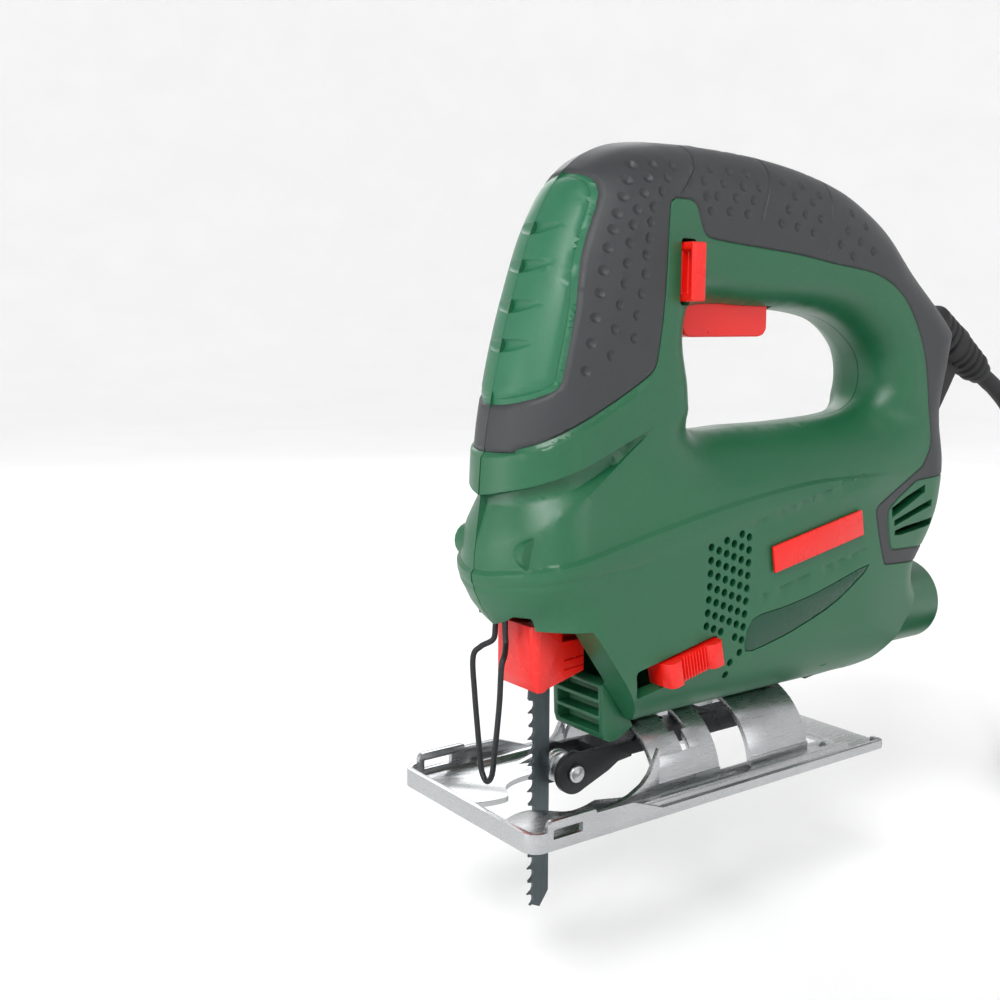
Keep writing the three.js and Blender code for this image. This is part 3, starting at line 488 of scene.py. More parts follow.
def surface(x, z, depth, relief):
    """Points of the near side: the body's form with its relief, drawn in along its normal by depth."""
    h = 0.03
    width = half_width(x, z)
    dx = (half_width(x + h, z) - half_width(x - h, z)) / (2 * h)
    dz = (half_width(x, z + h) - half_width(x, z - h)) / (2 * h)
    size = np.sqrt(1 + dx**2 + dz**2)
    out = relief(x, z) - depth
    return np.c_[x - dx / size * out, -width - out / size, z - dz / size * out]


def lifted(points, faces, level_of, depths, relief, skin=None, closed_front=False):
    """A closed mesh from side-view triangles. level_of gives each face's terrace, or -1 for none.
    It is closed by a flat back on the seam, or by an inner skin that follows the surface."""
    middles = np.array([points[f].mean(0) for f in faces])
    levels = level_of(middles[:, 0], middles[:, 1])
    kept = [(f, int(l)) for f, l in zip(faces, levels) if l >= 0]
    used = {}
    for f, l in kept:
        for v in f:
            used.setdefault(v, set()).add(l)
    back = len(depths)
    if closed_front:
        limit = 0
    elif skin is None:
        limit = SEAM - 0.1
    else:
        limit = -0.06
    verts, index = [], {}

    def add(keys, where):
        for key, p in zip(keys, where):
            index[key] = len(verts)
            verts.append(p)

    for l, depth in enumerate(depths):
        keys = [(v, l) for v in used if l in used[v]]
        if keys:
            xz = points[[v for v, _ in keys]]
            p = surface(xz[:, 0], xz[:, 1], depth, relief)
            p[:, 1] = np.minimum(p[:, 1], limit)
            add(keys, p)
    neighbour = {}
    for f, l in kept:
        for a, b in zip(f, f[1:] + f[:1]):
            neighbour[(a, b)] = l
    rim = [(a, b) for (a, b) in neighbour if (b, a) not in neighbour]
    if skin is None:
        keys = [(v, back) for v in {v for e in rim for v in e}]
        add(keys, [(points[v][0], SEAM, points[v][1]) for v, _ in keys])
    else:
        keys = [(v, back) for v in used]
        xz = points[[v for v, _ in keys]]
        p = surface(xz[:, 0], xz[:, 1], skin, lambda x, z: np.zeros_like(x))
        p[:, 1] = np.minimum(p[:, 1], 0 if closed_front else SEAM)
        add(keys, p)
    on_crown = {}
    if closed_front:
        near = distance_to(CROWN, points[:, 0], points[:, 1])
        on_crown = {v for v in used if near[v] < 0.02}
        for v in on_crown:
            for key in ((v, 0), (v, back)):
                verts[index[key]] = (verts[index[key]][0], 0.0, verts[index[key]][2])

    def chain(v, start, end):
        present = sorted(used[v] | {back})
        between = [l for l in present if min(start, end) <= l <= max(start, end)]
        if start > end:
            between.reverse()
        return [index[(v, l)] for l in between if (v, l) in index]

    made = [[index[(v, l)] for v in f] for f, l in kept]
    if skin is not None:
        made += [[index[(v, back)] for v in reversed(f)] for f, _ in kept]
    for (a, b), l in neighbour.items():
        other = neighbour.get((b, a))
        if other is None:
            if a in on_crown and b in on_crown:
                continue
            made.append(chain(a, l, back) + chain(b, back, l))
        elif other > l:
            made.append(chain(a, l, other) + chain(b, other, l))
    if skin is None:
        spots = sorted({v for e in rim for v in e})
        order = {v: i for i, v in enumerate(spots)}
        # corners far outside, so that every side of the rim has a triangle on either side of it
        far_corners = [Vector((x, z)) for x, z in ((-900, -900), (900, -900), (900, 900), (-900, 900))]
        placed = [Vector(points[v]) for v in spots] + far_corners
        rim_edges = [(order[a], order[b]) for a, b in rim]
        flat, _, tris, origin, *_ = delaunay_2d_cdt(placed, rim_edges, [], 0, 1e-5)
        outer = set(rim)
        for t in tris:
            if any(origin[v][0] >= len(spots) for v in t):
                continue
            corners = [spots[origin[v][0]] for v in t]
            sides = list(zip(corners, corners[1:] + corners[:1]))
            middle = np.mean([tuple(flat[v]) for v in t], 0)
            solid = level_of(middle[:1], middle[1:])[0] >= 0
            if any(side in outer for side in sides):
                solid = True
            elif any((b, a) in outer for a, b in sides):
                solid = False
            if solid:
                made.append([index[(v, back)] for v in reversed(corners)])
    return verts, made


# ---- mesh pieces ----

def new_mesh(name, verts, faces):
    mesh = bpy.data.meshes.new(name)
    mesh.from_pydata([tuple(c * MM for c in v) for v in verts], [], [list(f) for f in faces])
    bm = bmesh.new()
    bm.from_mesh(mesh)
    bmesh.ops.recalc_face_normals(bm, faces=bm.faces)
    bm.to_mesh(mesh)
    bm.free()
    obj = bpy.data.objects.new(name, mesh)
    scene.collection.objects.link(obj)
    return obj


def settle(obj):
    """Applies the object's modifiers."""
    graph = bpy.context.evaluated_depsgraph_get()
    mesh = bpy.data.meshes.new_from_object(obj.evaluated_get(graph))
    old = obj.data
    obj.modifiers.clear()
    obj.data = mesh
    bpy.data.meshes.remove(old)
    return obj


def combine(obj, tools, operation):
    for tool in tools:
        step = obj.modifiers.new("step", "BOOLEAN")
        step.operation = operation
        step.solver = "MANIFOLD"
        step.object = tool
        settle(obj)
        bpy.data.objects.remove(tool)
    return obj


def cut(obj, *tools):
    return combine(obj, tools, "DIFFERENCE")


def fuse(obj, *tools):
    return combine(obj, tools, "UNION")


def keep(obj, *tools):
    return combine(obj, tools, "INTERSECT")


def bevelled(obj, width, segments=2, angle=32):
    step = obj.modifiers.new("bevel", "BEVEL")
    step.width = width * MM
    step.segments = segments
    step.limit_method = "ANGLE"
    step.angle_limit = math.radians(angle)
    step.use_clamp_overlap = True
    return settle(obj)


def finish_piece(obj, material, body, slot, *replaced, angle=32):
    mesh = obj.data
    bm = bmesh.new()
    bm.from_mesh(mesh)
    bmesh.ops.remove_doubles(bm, verts=bm.verts, dist=1e-6)
    bmesh.ops.dissolve_degenerate(bm, edges=bm.edges, dist=1e-6)
    bm.to_mesh(mesh)
    bm.free()
    mesh.materials.clear()
    mesh.materials.append(material)
    mesh.polygons.foreach_set("use_smooth", [True] * len(mesh.polygons))
    mesh.set_sharp_from_angle(angle=math.radians(angle))
    mesh.update()
    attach(obj, body)
    if replaced:
        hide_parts(*replaced)
    return obj


def prism(points, low, high, place):
    """A prism between two levels of an outline. place puts (u, v, level) into the frame."""
    count = len(points)
    verts = [place(u, v, low) for u, v in points] + [place(u, v, high) for u, v in points]
    faces = [list(range(count)), list(range(count, 2 * count))]
    faces += [[i, (i + 1) % count, (i + 1) % count + count, i + count] for i in range(count)]
    return new_mesh("tool", verts, faces)


def side_slab(points, y0, y1):
    return prism(points, y0, y1, lambda u, v, level: (u, level, v))


def plan_slab(points, z0, z1):
    return prism(points, z0, z1, lambda u, v, level: (u, v, level))


def front_slab(points, x0, x1):
    return prism(points, x0, x1, lambda u, v, level: (level, u, v))


def block(x0, x1, y0, y1, z0, z1):
    return plan_slab([(x0, y0), (x1, y0), (x1, y1), (x0, y1)], z0, z1)


def turn(obj, matrix):
    obj.data.transform(matrix)
    return obj


def about(point, axis, degrees):
    spot = Matrix.Translation(Vector(point) * MM)
    return spot @ Matrix.Rotation(math.radians(degrees), 4, axis) @ spot.inverted()


def lathe(profile, place, sides=48, closed=True):
    """A turned piece from [radius, distance] points. place puts (u, v, distance) into the frame."""
    verts, faces, rows = [], [], []
    for r, h in profile:
        if r < 1e-6:
            rows.append([len(verts)] * sides)
            verts.append(place(0, 0, h))
        else:
            rows.append(list(range(len(verts), len(verts) + sides)))
            verts += [place(u, v, h) for u, v in circle(0, 0, r, sides)]
    pairs = list(zip(rows, rows[1:]))
    if closed and profile[0][0] > 1e-6:
        pairs.append((rows[-1], rows[0]))
    for low, high in pairs:
        for i in range(sides):
            j = (i + 1) % sides
            face = list(dict.fromkeys([low[i], low[j], high[j], high[i]]))
            if len(face) > 2:
                faces.append(face)
    return new_mesh("tool", verts, faces)


def along_x(y, z):
    return lambda u, v, h: (h, y + u, z + v)


def along_y(x, z):
    return lambda u, v, h: (x + u, h, z + v)


def along_z(x, y):
    return lambda u, v, h: (x + u, y + v, h)


def bar(place, low, high, radius, sides=32, edge=0.0):
    rim = [(radius, low), (radius, high)]
    if edge:
        rim = [(radius - edge, low), (radius, low + edge), (radius, high - edge), (radius - edge, high)]
    return lathe([(0, low), *rim, (0, high)], place, sides)


def mirrored(obj):
    obj.data.transform(Matrix.Diagonal((1, -1, 1, 1)))
    obj.data.flip_normals()
    return obj


# ---- housing halves, grips and palm pad ----

CROWN_RINGS = [18 * (1 - math.cos(math.radians(a))) for a in (7, 14, 22, 31, 41, 52, 64, 77)]
HOLE_RINGS = [0.3, 0.9, 2.0, 3.6, 5.8, 8.6, 12, 16]
CROWN_BAND = edge_rings(CROWN, CROWN_RINGS, False)
HOLE_BAND = edge_rings(HOLE, HOLE_RINGS, True)
GRIP_EDGE = inset(GRIP_REGION, -GAP)
PALM_EDGE = inset(PALM, -GAP)
POCKET = SKIN + GAP
# How deep each level of housing_levels lies below the surface.
TERRACES = [0, POCKET, 1.0, 8.5]
# The room of the motor ends there, below the handle.
ROOM_TOP = 108
FEATURE_LINES = [dense(line, 1.6, False) for line in (
    LIP_BOTTOM + (0, -0.05), LIP_BOTTOM + (0, -0.45), LIP_BOTTOM + (0, 1.0), LIP_TOP + (0, -1.3),
    LIP_TOP + (0, -0.7), GROOVE, GROOVE + (0, -1.2), CRESCENT, CREASE, CREASE + (0, 0.9),
    CREASE + (0, -0.9),
)]
RIB_LINES = [dense(line, 2.2, False) for line in (
    RIB_TOP, RIB_TOP + (0, 0.3), RIB_LOW, RIB2_TOP, RIB2_TOP + (0, 0.3), RIB2_LOW)]
BELT_X = np.arange(-29, 150, 2.0)
BELT_LINES = [np.c_[BELT_X, belt(BELT_X) + rise] for rise in (-4, -1.5, -0.5, 0.15, 0.8, 1.7, 4)]


def in_body(x, z):
    return inside(OUTLINE, x, z) & ~inside(HOLE, x, z)


def housing_levels(near):
    """0 is the green surface, 1 a soft skin's pocket, 2 a shallow recess, 3 the floor of a slot."""
    vents = vent_centres()

    def level_of(x, z):
        level = np.zeros(len(x), int)
        if near:
            level[inside(NAME_RECESS, x, z)] = 2
        level[inside(GRIP_EDGE, x, z) | inside(PALM_EDGE, x, z)] = 1
        if near:
            level[inside(BLOWER_SLOT, x, z) | inside(LOCK_SLOT, x, z)] = 3
        gap = np.hypot(x[:, None] - vents[None, :, 0], z[:, None] - vents[None, :, 1]).min(1)
        level[gap < VENT_RADIUS - 0.06] = -1
        for slot in REAR_SLOTS:
            level[inside(np.array(slot), x, z)] = -1
        level[~in_body(x, z)] = -1
        return level

    return level_of, vents


def within(points):
    """The points inside the body's outline and outside its hole, or less than half a millimetre past them."""
    x, z = points.T
    return points[inside(inset(OUTLINE, -0.5), x, z) & ~inside(inset(HOLE, -0.5), x, z)]


def housing_half(near):
    level_of, vents = housing_levels(near)
    loops = [(OUTLINE, True), (HOLE, True), (GRIP_EDGE, True), (PALM_EDGE, True)]
    if near:
        loops += [(NAME_RECESS, True), (BLOWER_SLOT, True), (LOCK_SLOT, True)]
    loops += [(circle(x, z, VENT_RADIUS), True) for x, z in vents]
    loops += [(dense(slot, 3), True) for slot in REAR_SLOTS]
    loops += [(line, False) for line in FEATURE_LINES + RIB_LINES]
    fixed = np.vstack([np.array(line) for line, _ in loops])
    rings = np.vstack([CROWN_BAND, HOLE_BAND, *BELT_LINES,
        edge_rings(GRIP_EDGE, (0.45, 1.1), True), edge_rings(PALM_EDGE, (0.45, 1.1), True)])
    gap = np.array([np.hypot(*(fixed - p).T).min() for p in rings])
    rings = rings[gap > 0.4]
    net = spread(2.5, (-32, 17), (196, 212), np.vstack([fixed, rings]), 1.3)
    free = within(np.vstack([rings, net]))
    spots, faces = triangulate(loops, free)
    edge_loops = (GRIP_EDGE, PALM_EDGE)

    def relief(x, z):
        rise = form_relief(x, z)
        for line in edge_loops:
            rise = rise - 0.3 * np.clip(1 - distance_to(line, x, z, True) / 0.5, 0, 1) ** 2
        return rise

    verts, made = lifted(spots, faces, level_of, TERRACES, relief)
    return new_mesh("left_shell" if near else "right_shell", verts, made)


def hollow():
    """The room inside a half below the handle, as a closed block that stops at the wall."""
    shell = inset(dense(OUTLINE, 6), WALL)
    shell = shell[distance_to(OUTLINE, shell[:, 0], shell[:, 1], True) > WALL * 0.9]
    core = inset(dense(HOLE, 5), -WALL)
    net = spread(6, (-32, 17), (196, 212), np.vstack([shell, core]), 3)
    spots, faces = triangulate([(shell, True), (core, True)], net)

    def level_of(x, z):
        solid = inside(shell, x, z) & ~inside(core, x, z) & (half_width(x, z) > WALL + 1) & (z < ROOM_TOP)
        return np.where(solid, 0, -1)

    verts, made = lifted(spots, faces, level_of, [WALL], lambda x, z: np.zeros_like(x))
    # the flat back stands out past the seam, so that the cut is clean
    verts = [(x, y + (0.6 if y > SEAM - 0.05 else 0), z) for x, y, z in verts]
    return new_mesh("tool", verts, made)


CORD_SLOPE = math.radians(-29)
BOOT_START = (172, 0, 163)


def along_cord(distance):
    return (BOOT_START[0] + distance * math.cos(CORD_SLOPE), 0, BOOT_START[2]
        + distance * math.sin(CORD_SLOPE))


def on_cord(u, v, h):
    c, s = math.cos(CORD_SLOPE), math.sin(CORD_SLOPE)
    return (BOOT_START[0] + h * c - v * s, u, BOOT_START[2] + h * s + v * c)


def cord_mouth():
    return lathe([(0, -6), (6.3, -6), (6.3, 21.5), (9.4, 21.5), (9.4, 60), (0, 60)], on_cord, 32)


def nose_recess():
    lever = side_slab([(-22, 50), (-22, 64.2), (12, 64.2), (12, 30), (-12, 50)], -14.8, 14.8)
    return fuse(lever, side_slab([(8, 64.2), (15, 64.2), (15, 44), (30, 26), (24, 14), (8, 14)], -13.2, 13.2))


def trigger_slot():
    return block(46.6, 89.4, -9.2, 9.2, 146, 169)


def width_at(x, z):
    return float(half_width(np.array([x]), np.array([z]))[0])


def screw_recesses():
    return [bar(along_y(x, z), -40, -12, 3.9, 24) for x, z in SCREWS]


def screw_bosses():
    tools = []
    for x, z in SCREWS:
        width = width_at(x, z)
        if width > 15 and z < ROOM_TOP + 3:
            tools.append(bar(along_y(x, z), -(width - 2.6), SEAM - 0.02, 5.6, 20))
    return tools


def housing(near):
    half = housing_half(near)
    cut(half, hollow())
    fuse(half, *screw_bosses())
    cut(half, trigger_slot(), nose_recess(), bar(along_x(0, 41.8), 118, 220, 16.4, 64),
        bar(along_x(0, 0), 12, 112, 26.1, 96), cord_mouth())
    for x, z in SCREWS:
        reach = min(24, width_at(x, z) - 3.4) if near else 24
        cut(half, bar(along_y(x, z), -reach, 1, 2.0, 12))
    if not near:
        cut(half, *screw_recesses())
        mirrored(half)
    node_name = "housing_left" if near else "housing_right"
    return finish_piece(half, GREEN, "housing", "green_shell", node_name, angle=30)


def skin_piece(name, region, other, relief, closed_front, extra):
    loops = [(OUTLINE, True), (HOLE, True), (region, True)]
    if other is not None:
        loops.append((other, True))
    fixed = np.vstack([line for line, _ in loops] + [np.array(points) for points in extra])
    rings = np.vstack([CROWN_BAND, HOLE_BAND, edge_rings(region, (0.4, 1.0, 2.0), True)]
        + ([edge_rings(other, (0.4, 1.0, 2.0), True)] if other is not None else []))
    gap = np.array([np.hypot(*(fixed - p).T).min() for p in rings])
    rings = rings[gap > 0.55]
    net = spread(2.4, (-32, 55), (196, 212), np.vstack([fixed, rings]), 1.25)
    net = net[inside(region, net[:, 0], net[:, 1])]
    free = within(np.vstack([rings, net] + [np.array(points) for points in extra]))
    spots, faces = triangulate(loops, free)

    def level_of(x, z):
        solid = in_body(x, z) & inside(region, x, z)
        if other is not None:
            solid &= ~inside(other, x, z)
        return np.where(solid, 0, -1)

    def edged(x, z):
        rise = relief(x, z)
        for line in (region, other):
            if line is not None:
                rise = rise - 0.8 * np.clip(1 - distance_to(line, x, z, True) / 0.9, 0, 1) ** 2
        return rise

    verts, made = lifted(spots, faces, level_of, [0], edged, SKIN, closed_front)
    return new_mesh(name, verts, made)


def grip(near):
    dents = []
    for x, z in DIMPLES:
        dents.append((x, z))
        for radius, count in ((0.62, 6), (DIMPLE_RADIUS, 9), (DIMPLE_RADIUS + 0.35, 9)):
            dents += circle(x, z, radius, count)
    seams = []
    for seam in GRIP_SEAMS:
        line = dense(smooth(seam, 5), 1.2, False)
        for aside in (0, 0.55, -0.55):
            seams += [tuple(p) for p in line + (aside, 0)]
    name = "left_grip" if near else "right_grip"
    piece = skin_piece(name, GRIP_REGION, PALM_EDGE, grip_relief, False, [dents, seams])
    cut(piece, trigger_slot(), cord_mouth())
    if not near:
        cut(piece, *screw_recesses())
        mirrored(piece)
    node_name = "grip_left" if near else "grip_right"
    return finish_piece(piece, GRIP, "housing", "grey_grip", node_name, angle=38)


def scallop(z):
    """A lens-shaped cutter laid round the front of the pad, 4.5 mm high and 1.5 mm deep at its middle."""
    reach, proud, deep = 12, 1.1, 1.4
    nose = CROWN[:84]
    behind = np.linspace(0, 14, 90)
    front = np.interp(z, nose[:, 1], nose[:, 0])
    widths = np.maximum.accumulate(half_width(front + behind, np.full(len(behind), float(z))))

    def follow(u, v, h):
        back = float(np.interp(abs(h), widths, behind))
        return (front + back + u - 0.95 * proud, h, z + v + 0.3 * back + 0.33 * proud)

    lens = [(proud + deep * (1 - (h / reach) ** 2), h) for h in np.linspace(-reach, reach, 25)]
    return lathe([(0, -reach - 0.2), *lens, (0, reach + 0.2)], follow, 32)


def palm_pad():
    half = skin_piece("palm_pad", PALM, None, palm_relief, True, [edge_rings(PALM, (1.5, 1.9, 2.3), True)])
    bm = bmesh.new()
    bm.from_mesh(half.data)
    bmesh.ops.mirror(bm, geom=bm.verts[:] + bm.edges[:] + bm.faces[:], axis="Y", merge_dist=2e-6)
    bmesh.ops.recalc_face_normals(bm, faces=bm.faces)
    bm.to_mesh(half.data)
    bm.free()
    cut(half, *[scallop(z) for z in SCALLOP_HEIGHTS])
    return finish_piece(half, SOFT_GREEN, "housing", "soft_green", "palm_panel", angle=38)


housing(True)
housing(False)
grip(True)
grip(False)
palm_pad()


# ---- base plate ----

def arc(cu, cv, radius, start, end, count):
    steps = [math.radians(start + (end - start) * i / count) for i in range(count + 1)]
    return [(cu + radius * math.cos(a), cv + radius * math.sin(a)) for a in steps]


SHEET = 1.8
PLATE_FRONT, PLATE_REAR, PLATE_HALF = -34, 127, 36
HOOP_OUTER, HOOP_INNER = 25, 23.2


def hoop(x0, x1):
    return front_slab(arc(0, 0, HOOP_OUTER, 8, 172, 60) + arc(0, 0, HOOP_INNER, 172, 8, 60), x0, x1)


def base_plate():
    corner = 5
    plan = (arc(PLATE_FRONT + corner, -PLATE_HALF + corner, corner, 180, 270, 8)
        + arc(PLATE_REAR - 2, -PLATE_HALF + 2, 2, 270, 360, 5)
        + arc(PLATE_REAR - 2, PLATE_HALF - 2, 2, 0, 90, 5)
        + arc(PLATE_FRONT + corner, PLATE_HALF - corner, corner, 90, 180, 8))
    plate = plan_slab(plan, 0, SHEET)
    inner = [tuple(p) for p in inset(plan, SHEET)]
    rim = cut(plan_slab(plan, 0, 6), plan_slab(inner, -1, 7))
    cut(rim, block(PLATE_REAR - 9, PLATE_REAR + 1, -31, 31, SHEET, 8),
        block(0, PLATE_REAR + 1, -40, 40, 3, 12))
    fuse(plate, rim)
    wall = [(-28, 0), (-28, 7.5)] + arc(-26, 7.2, 1.8, 170, 90, 4) + [
        (-10, 9), (-9.5, 7.8), (5, 7.6), (17.5, 3), (17.5, 0)]
    for y in (-PLATE_HALF, PLATE_HALF - SHEET):
        fuse(plate, side_slab(wall, y, y + SHEET))
    for y in (-30, 30):
        bead = [(y - 2.6, 0.9), (y - 1.9, 2.7), (y - 0.9, 3.6), (y + 0.9, 3.6), (y + 1.9, 2.7),
            (y + 2.6, 0.9)]
        fuse(plate, front_slab(bead, -6, 112))
    near = run([(-32, -16), (-24, -11.7), (-17, -10.8), (-12, -14.5), (-7, -18.6), (-1, -18.6), (6, -16.5)],
        5)
    far = run([(6, 13.4), (-4, 12.6), (-10, 9.5), (-12.2, 6), (-15, 1.9), (-22, 2.2), (-28.5, 4.8),
        (-32, 8)], 5)
    opening = ([tuple(p) for p in near] + [(16, -20.5), (112, -20.5), (112, 20.5), (16, 20.5)]
        + [tuple(p) for p in far])
    cut(plate, plan_slab(opening, -1, 12))
    band = hoop(25.5, 54)
    cut(band, block(37.5, 45, -17, 17, 12, 30), block(39.5, 43, -21.5, 21.5, 8, 30),
        block(24, 28.5, -5, 5, 15, 30))
    fuse(plate, band)
    rear = hoop(69, 98)
    fuse(plate, rear)
    for x0, x1 in ((25.5, 54), (69, 98)):
        for y0, y1 in ((20, HOOP_OUTER), (-HOOP_OUTER, -20)):
            foot = cut(block(x0, x1, y0, y1, 0, 5), bar(along_x(0, 0), 0, 120, HOOP_INNER, 96))
            fuse(plate, foot)
    brace = [(2, 1.2), (8, 2.4), (14, 4.0), (19, 6.4), (22, 9.3), (23.8, 12.6), (26, 17), (26, 1.2)]
    for y in (-HOOP_OUTER, HOOP_INNER):
        fuse(plate, side_slab(brace, y, y + SHEET))
    cut(plate, block(-26, -15, -60, 60, 3.4, 6.4))
    for x in (60, 106):
        for y in (-25.6, 25.6):
            cut(plate, bar(along_z(x, y), -1, 4, 1.7, 20))
    bevelled(plate, 0.32, 2)
    return finish_piece(plate, SHEET_STEEL, "base", "sheet_steel", "base_plate", angle=40)


base_plate().name = "sole_plate"


# ---- roller, its bracket and screws ----

ROLLER_X, ROLLER_Z, ROLLER_RADIUS = 5.7, 7.8, 5.4


def roller_bracket():
    cheek = arc(ROLLER_X, ROLLER_Z, 7, 60, 300, 28) + [(20, 5.8), (24, 8.0), (30, 8.6), (30, 13.6),
        (20, 13.6), (14, 13.9)]
    bracket = side_slab(cheek, -7.2, -4.9)
    arm = block(16.5, 106, -7.2, 7.2, 9.2, 13.6)
    fuse(bracket, side_slab(cheek, 4.9, 7.2), arm, block(60, 68, -7.2, 7.2, 13, 17),
        block(99.5, 106, -7.2, 7.2, 13, 17))
    for y in (-7.2, 5.6):
        fuse(bracket, side_slab([(28, 11), (33, 15.4), (52, 15.4), (58, 13), (58, 11)], y, y + 1.6))
    cut(bracket, block(-4, 16.4, -4.9, 4.9, -5, 20), bar(along_y(ROLLER_X, ROLLER_Z), -10, 10, 1.9, 24),
        bar(along_z(61.5, 0), 5, 20, 2.4, 24), bar(along_z(102.8, 0), 5, 20, 2.4, 24))
    bevelled(bracket, 0.4, 2)
    return finish_piece(bracket, BLACK_STEEL, "housing", "black_steel", "roller_bracket", angle=40)


def guide_roller():
    r = ROLLER_RADIUS
    profile = [(2, -4.2), (2.3, -4.5), (r - 0.5, -4.5), (r - 0.15, -4.35), (r, -4), (r, -1.3),
        (r - 0.2, -1.05), (r - 0.9, -0.9), (r - 0.9, 0.9), (r - 0.2, 1.05), (r, 1.3), (r, 4),
        (r - 0.15, 4.35), (r - 0.5, 4.5), (2.3, 4.5), (2, 4.2)]
    return finish_piece(lathe(profile, along_y(ROLLER_X, ROLLER_Z), 56), STEEL, "roller", "plain_steel",
        "guide_roller", angle=50)


def roller_pin():
    profile = [(0, -9), (1.0, -9), (1.3, -8.75), (2.3, -8.7), (2.7, -8.5), (2.9, -8.2), (2.9, -7.6),
        (2.8, -7.5), (1.6, -7.5), (1.6, 7.2), (1.3, 7.5), (0, 7.5)]
    return finish_piece(lathe(profile, along_y(ROLLER_X, ROLLER_Z), 40), STEEL, "housing", "plain_steel",
        "roller_pin", angle=40)


def hex_screw(name, x, top):
    shank = bar(along_z(x, 0), 8.6, top, 2, 24, 0.3)
    head = bar(along_z(x, 0), 5.4, 8.9, 4, 6)
    bevelled(head, 0.3, 2, 20)
    return finish_piece(fuse(shank, head), STEEL, "housing", "plain_steel", name, angle=35)


roller_bracket().name = "roller_arm"
guide_roller().name = "blade_roller"
roller_pin().name = "roller_axle"
hex_screw("bracket_screw_front", 61.5, 22).name = "arm_screw_front"
hex_screw("bracket_screw_rear", 102.8, 22).name = "arm_screw_rear"


# ---- lever, clamp, blade and plunger ----

LEVER_LOW, LEVER_HIGH, ROD_X = 38.5, 59.6, -4


def sds_lever():
    plan = [*arc(-11.4, 7.6, 2.8, 180, 90, 6), (6, 10.4), (8.2, 6.5), (8.2, -6.5), (6, -10.4),
        *arc(-11.4, -7.6, 2.8, 270, 180, 6)]
    lever = plan_slab(plan, LEVER_LOW, LEVER_HIGH)
    # the face is drawn back below a slanted crease, and the wing carries two grooves
    cut(lever, side_slab([(-20, 36), (-20, 43), (-14.2, 43), (-11.6, 36)], -20, 20))
    thumb = keep(block(-14, 9, -11, -6.4, LEVER_HIGH - 6, LEVER_HIGH + 1), block(-3, 9, -12, 0, 50, 66))
    cut(lever, thumb)
    cut(lever, side_slab([(-10, 37), (-10, 38.6), (9, 43.6), (9, 37)], -20, 20))
    # the wing right of the slanted crease stands back from the face
    wing = [(-4.6, 53), (-9.6, 38), (9, 38), (9, 53)]
    cut(lever, prism(wing, 0, 1, lambda u, v, level: (u, -9.7 - 2 * level, v)))
    for z in (44.4, 47.4):
        cut(lever, side_slab([(-1.6, z - 0.5), (6.6, z + 0.3), (6.6, z + 1.2), (-1.6, z + 0.4)], -12, -9.1))
    cut(lever, bar(along_z(ROD_X, 0), LEVER_LOW - 1, LEVER_HIGH + 1, 7.1, 48))
    bevelled(lever, 0.7, 3, 28)
    return finish_piece(lever, RED, "lever", "red_parts", "sds_lever", angle=40)


def blade_slot():
    return block(-8.6, 0.6, -1.1, 1.1, 20, 53)


def blade_clamp():
    clamp = lathe([(0, 40.5), (5.8, 40.5), (6.6, 41.3), (6.6, 43), (6.2, 43.3), (6.2, 44), (6.6, 44.3),
        (6.6, 50), (6, 50.7), (0, 50.7)], along_z(ROD_X, 0), 56)
    cut(clamp, blade_slot())
    return finish_piece(clamp, BLACK_STEEL, "plunger", "black_steel", "blade_clamp", angle=35)


def saw_blade():
    """A T-shank blade: teeth set to both sides in turn, which shows as a ground bevel on each."""
    tip, pitch = -38, 4.4
    teeth = [33 - pitch * i for i in range(16)]
    edge = []
    for z in teeth:
        edge += [(-8.3, z), (-6.5, z - 0.35), (-6.1, z - 1.0), (-6.05, z - 2.2), (-6.5, z - 3.1),
            (-7.4, z - 3.8)]
    outline = [(0, 37), (-0.5, 37.6), (-1.6, 38), (-1.6, 50), (-6.2, 50), (-6.2, 38), (-7.4, 37.6),
        (-8, 36.6), *edge, (-6.6, tip + 1.5), (-3.5, tip), (-0.6, tip + 4), (0, tip + 5)]
    blade = side_slab(outline, -0.65, 0.65)
    for number, z in enumerate(teeth):
        side = -1 if number % 2 else 1
        ground = [(-8.6, z + 0.3), (-7.0, z + 0.1), (-6.6, z - 3.4), (-8.2, z - 3.6)]
        cut(blade, prism(ground, 0.2, 1.4, lambda u, v, level: (u, side * (level - 0.15 * (u + 8.6)), v)))
    bevelled(blade, 0.08, 1, 40)
    return finish_piece(blade, BLADE, "plunger", "blade_steel", "saw_blade", angle=30)


def plunger_rod():
    rod = bar(along_z(ROD_X, 0), 51, 143, 3.5, 48, 0.4)
    yoke = cut(block(-8.4, -0.8, -14, 14, 99.4, 110.6), block(-3, 0, -11.5, 11.5, 102.2, 107.8))
    fuse(rod, bevelled(yoke, 0.5, 2))
    cut(rod, block(-3, 0, -11.5, 11.5, 102.2, 107.8))
    return finish_piece(rod, STEEL, "plunger", "plain_steel", "plunger_rod", angle=40)


sds_lever().name = "clamp_lever"
blade_clamp().name = "clamp_sleeve"
saw_blade().name = "blade"
plunger_rod().name = "plunger"


# ---- wire guard ----

def tube_curve(name, points, radius):
    data = bpy.data.curves.new(name, "CURVE")
    data.dimensions = "3D"
    data.bevel_depth = radius * MM
    data.bevel_resolution = 3
    data.use_fill_caps = True
    data.resolution_u = 4
    spline = data.splines.new("POLY")
    spline.points.add(len(points) - 1)
    for spot, p in zip(spline.points, points):
        spot.co = (*(c * MM for c in p), 1)
    obj = bpy.data.objects.new(name, data)
    scene.collection.objects.link(obj)
    return obj


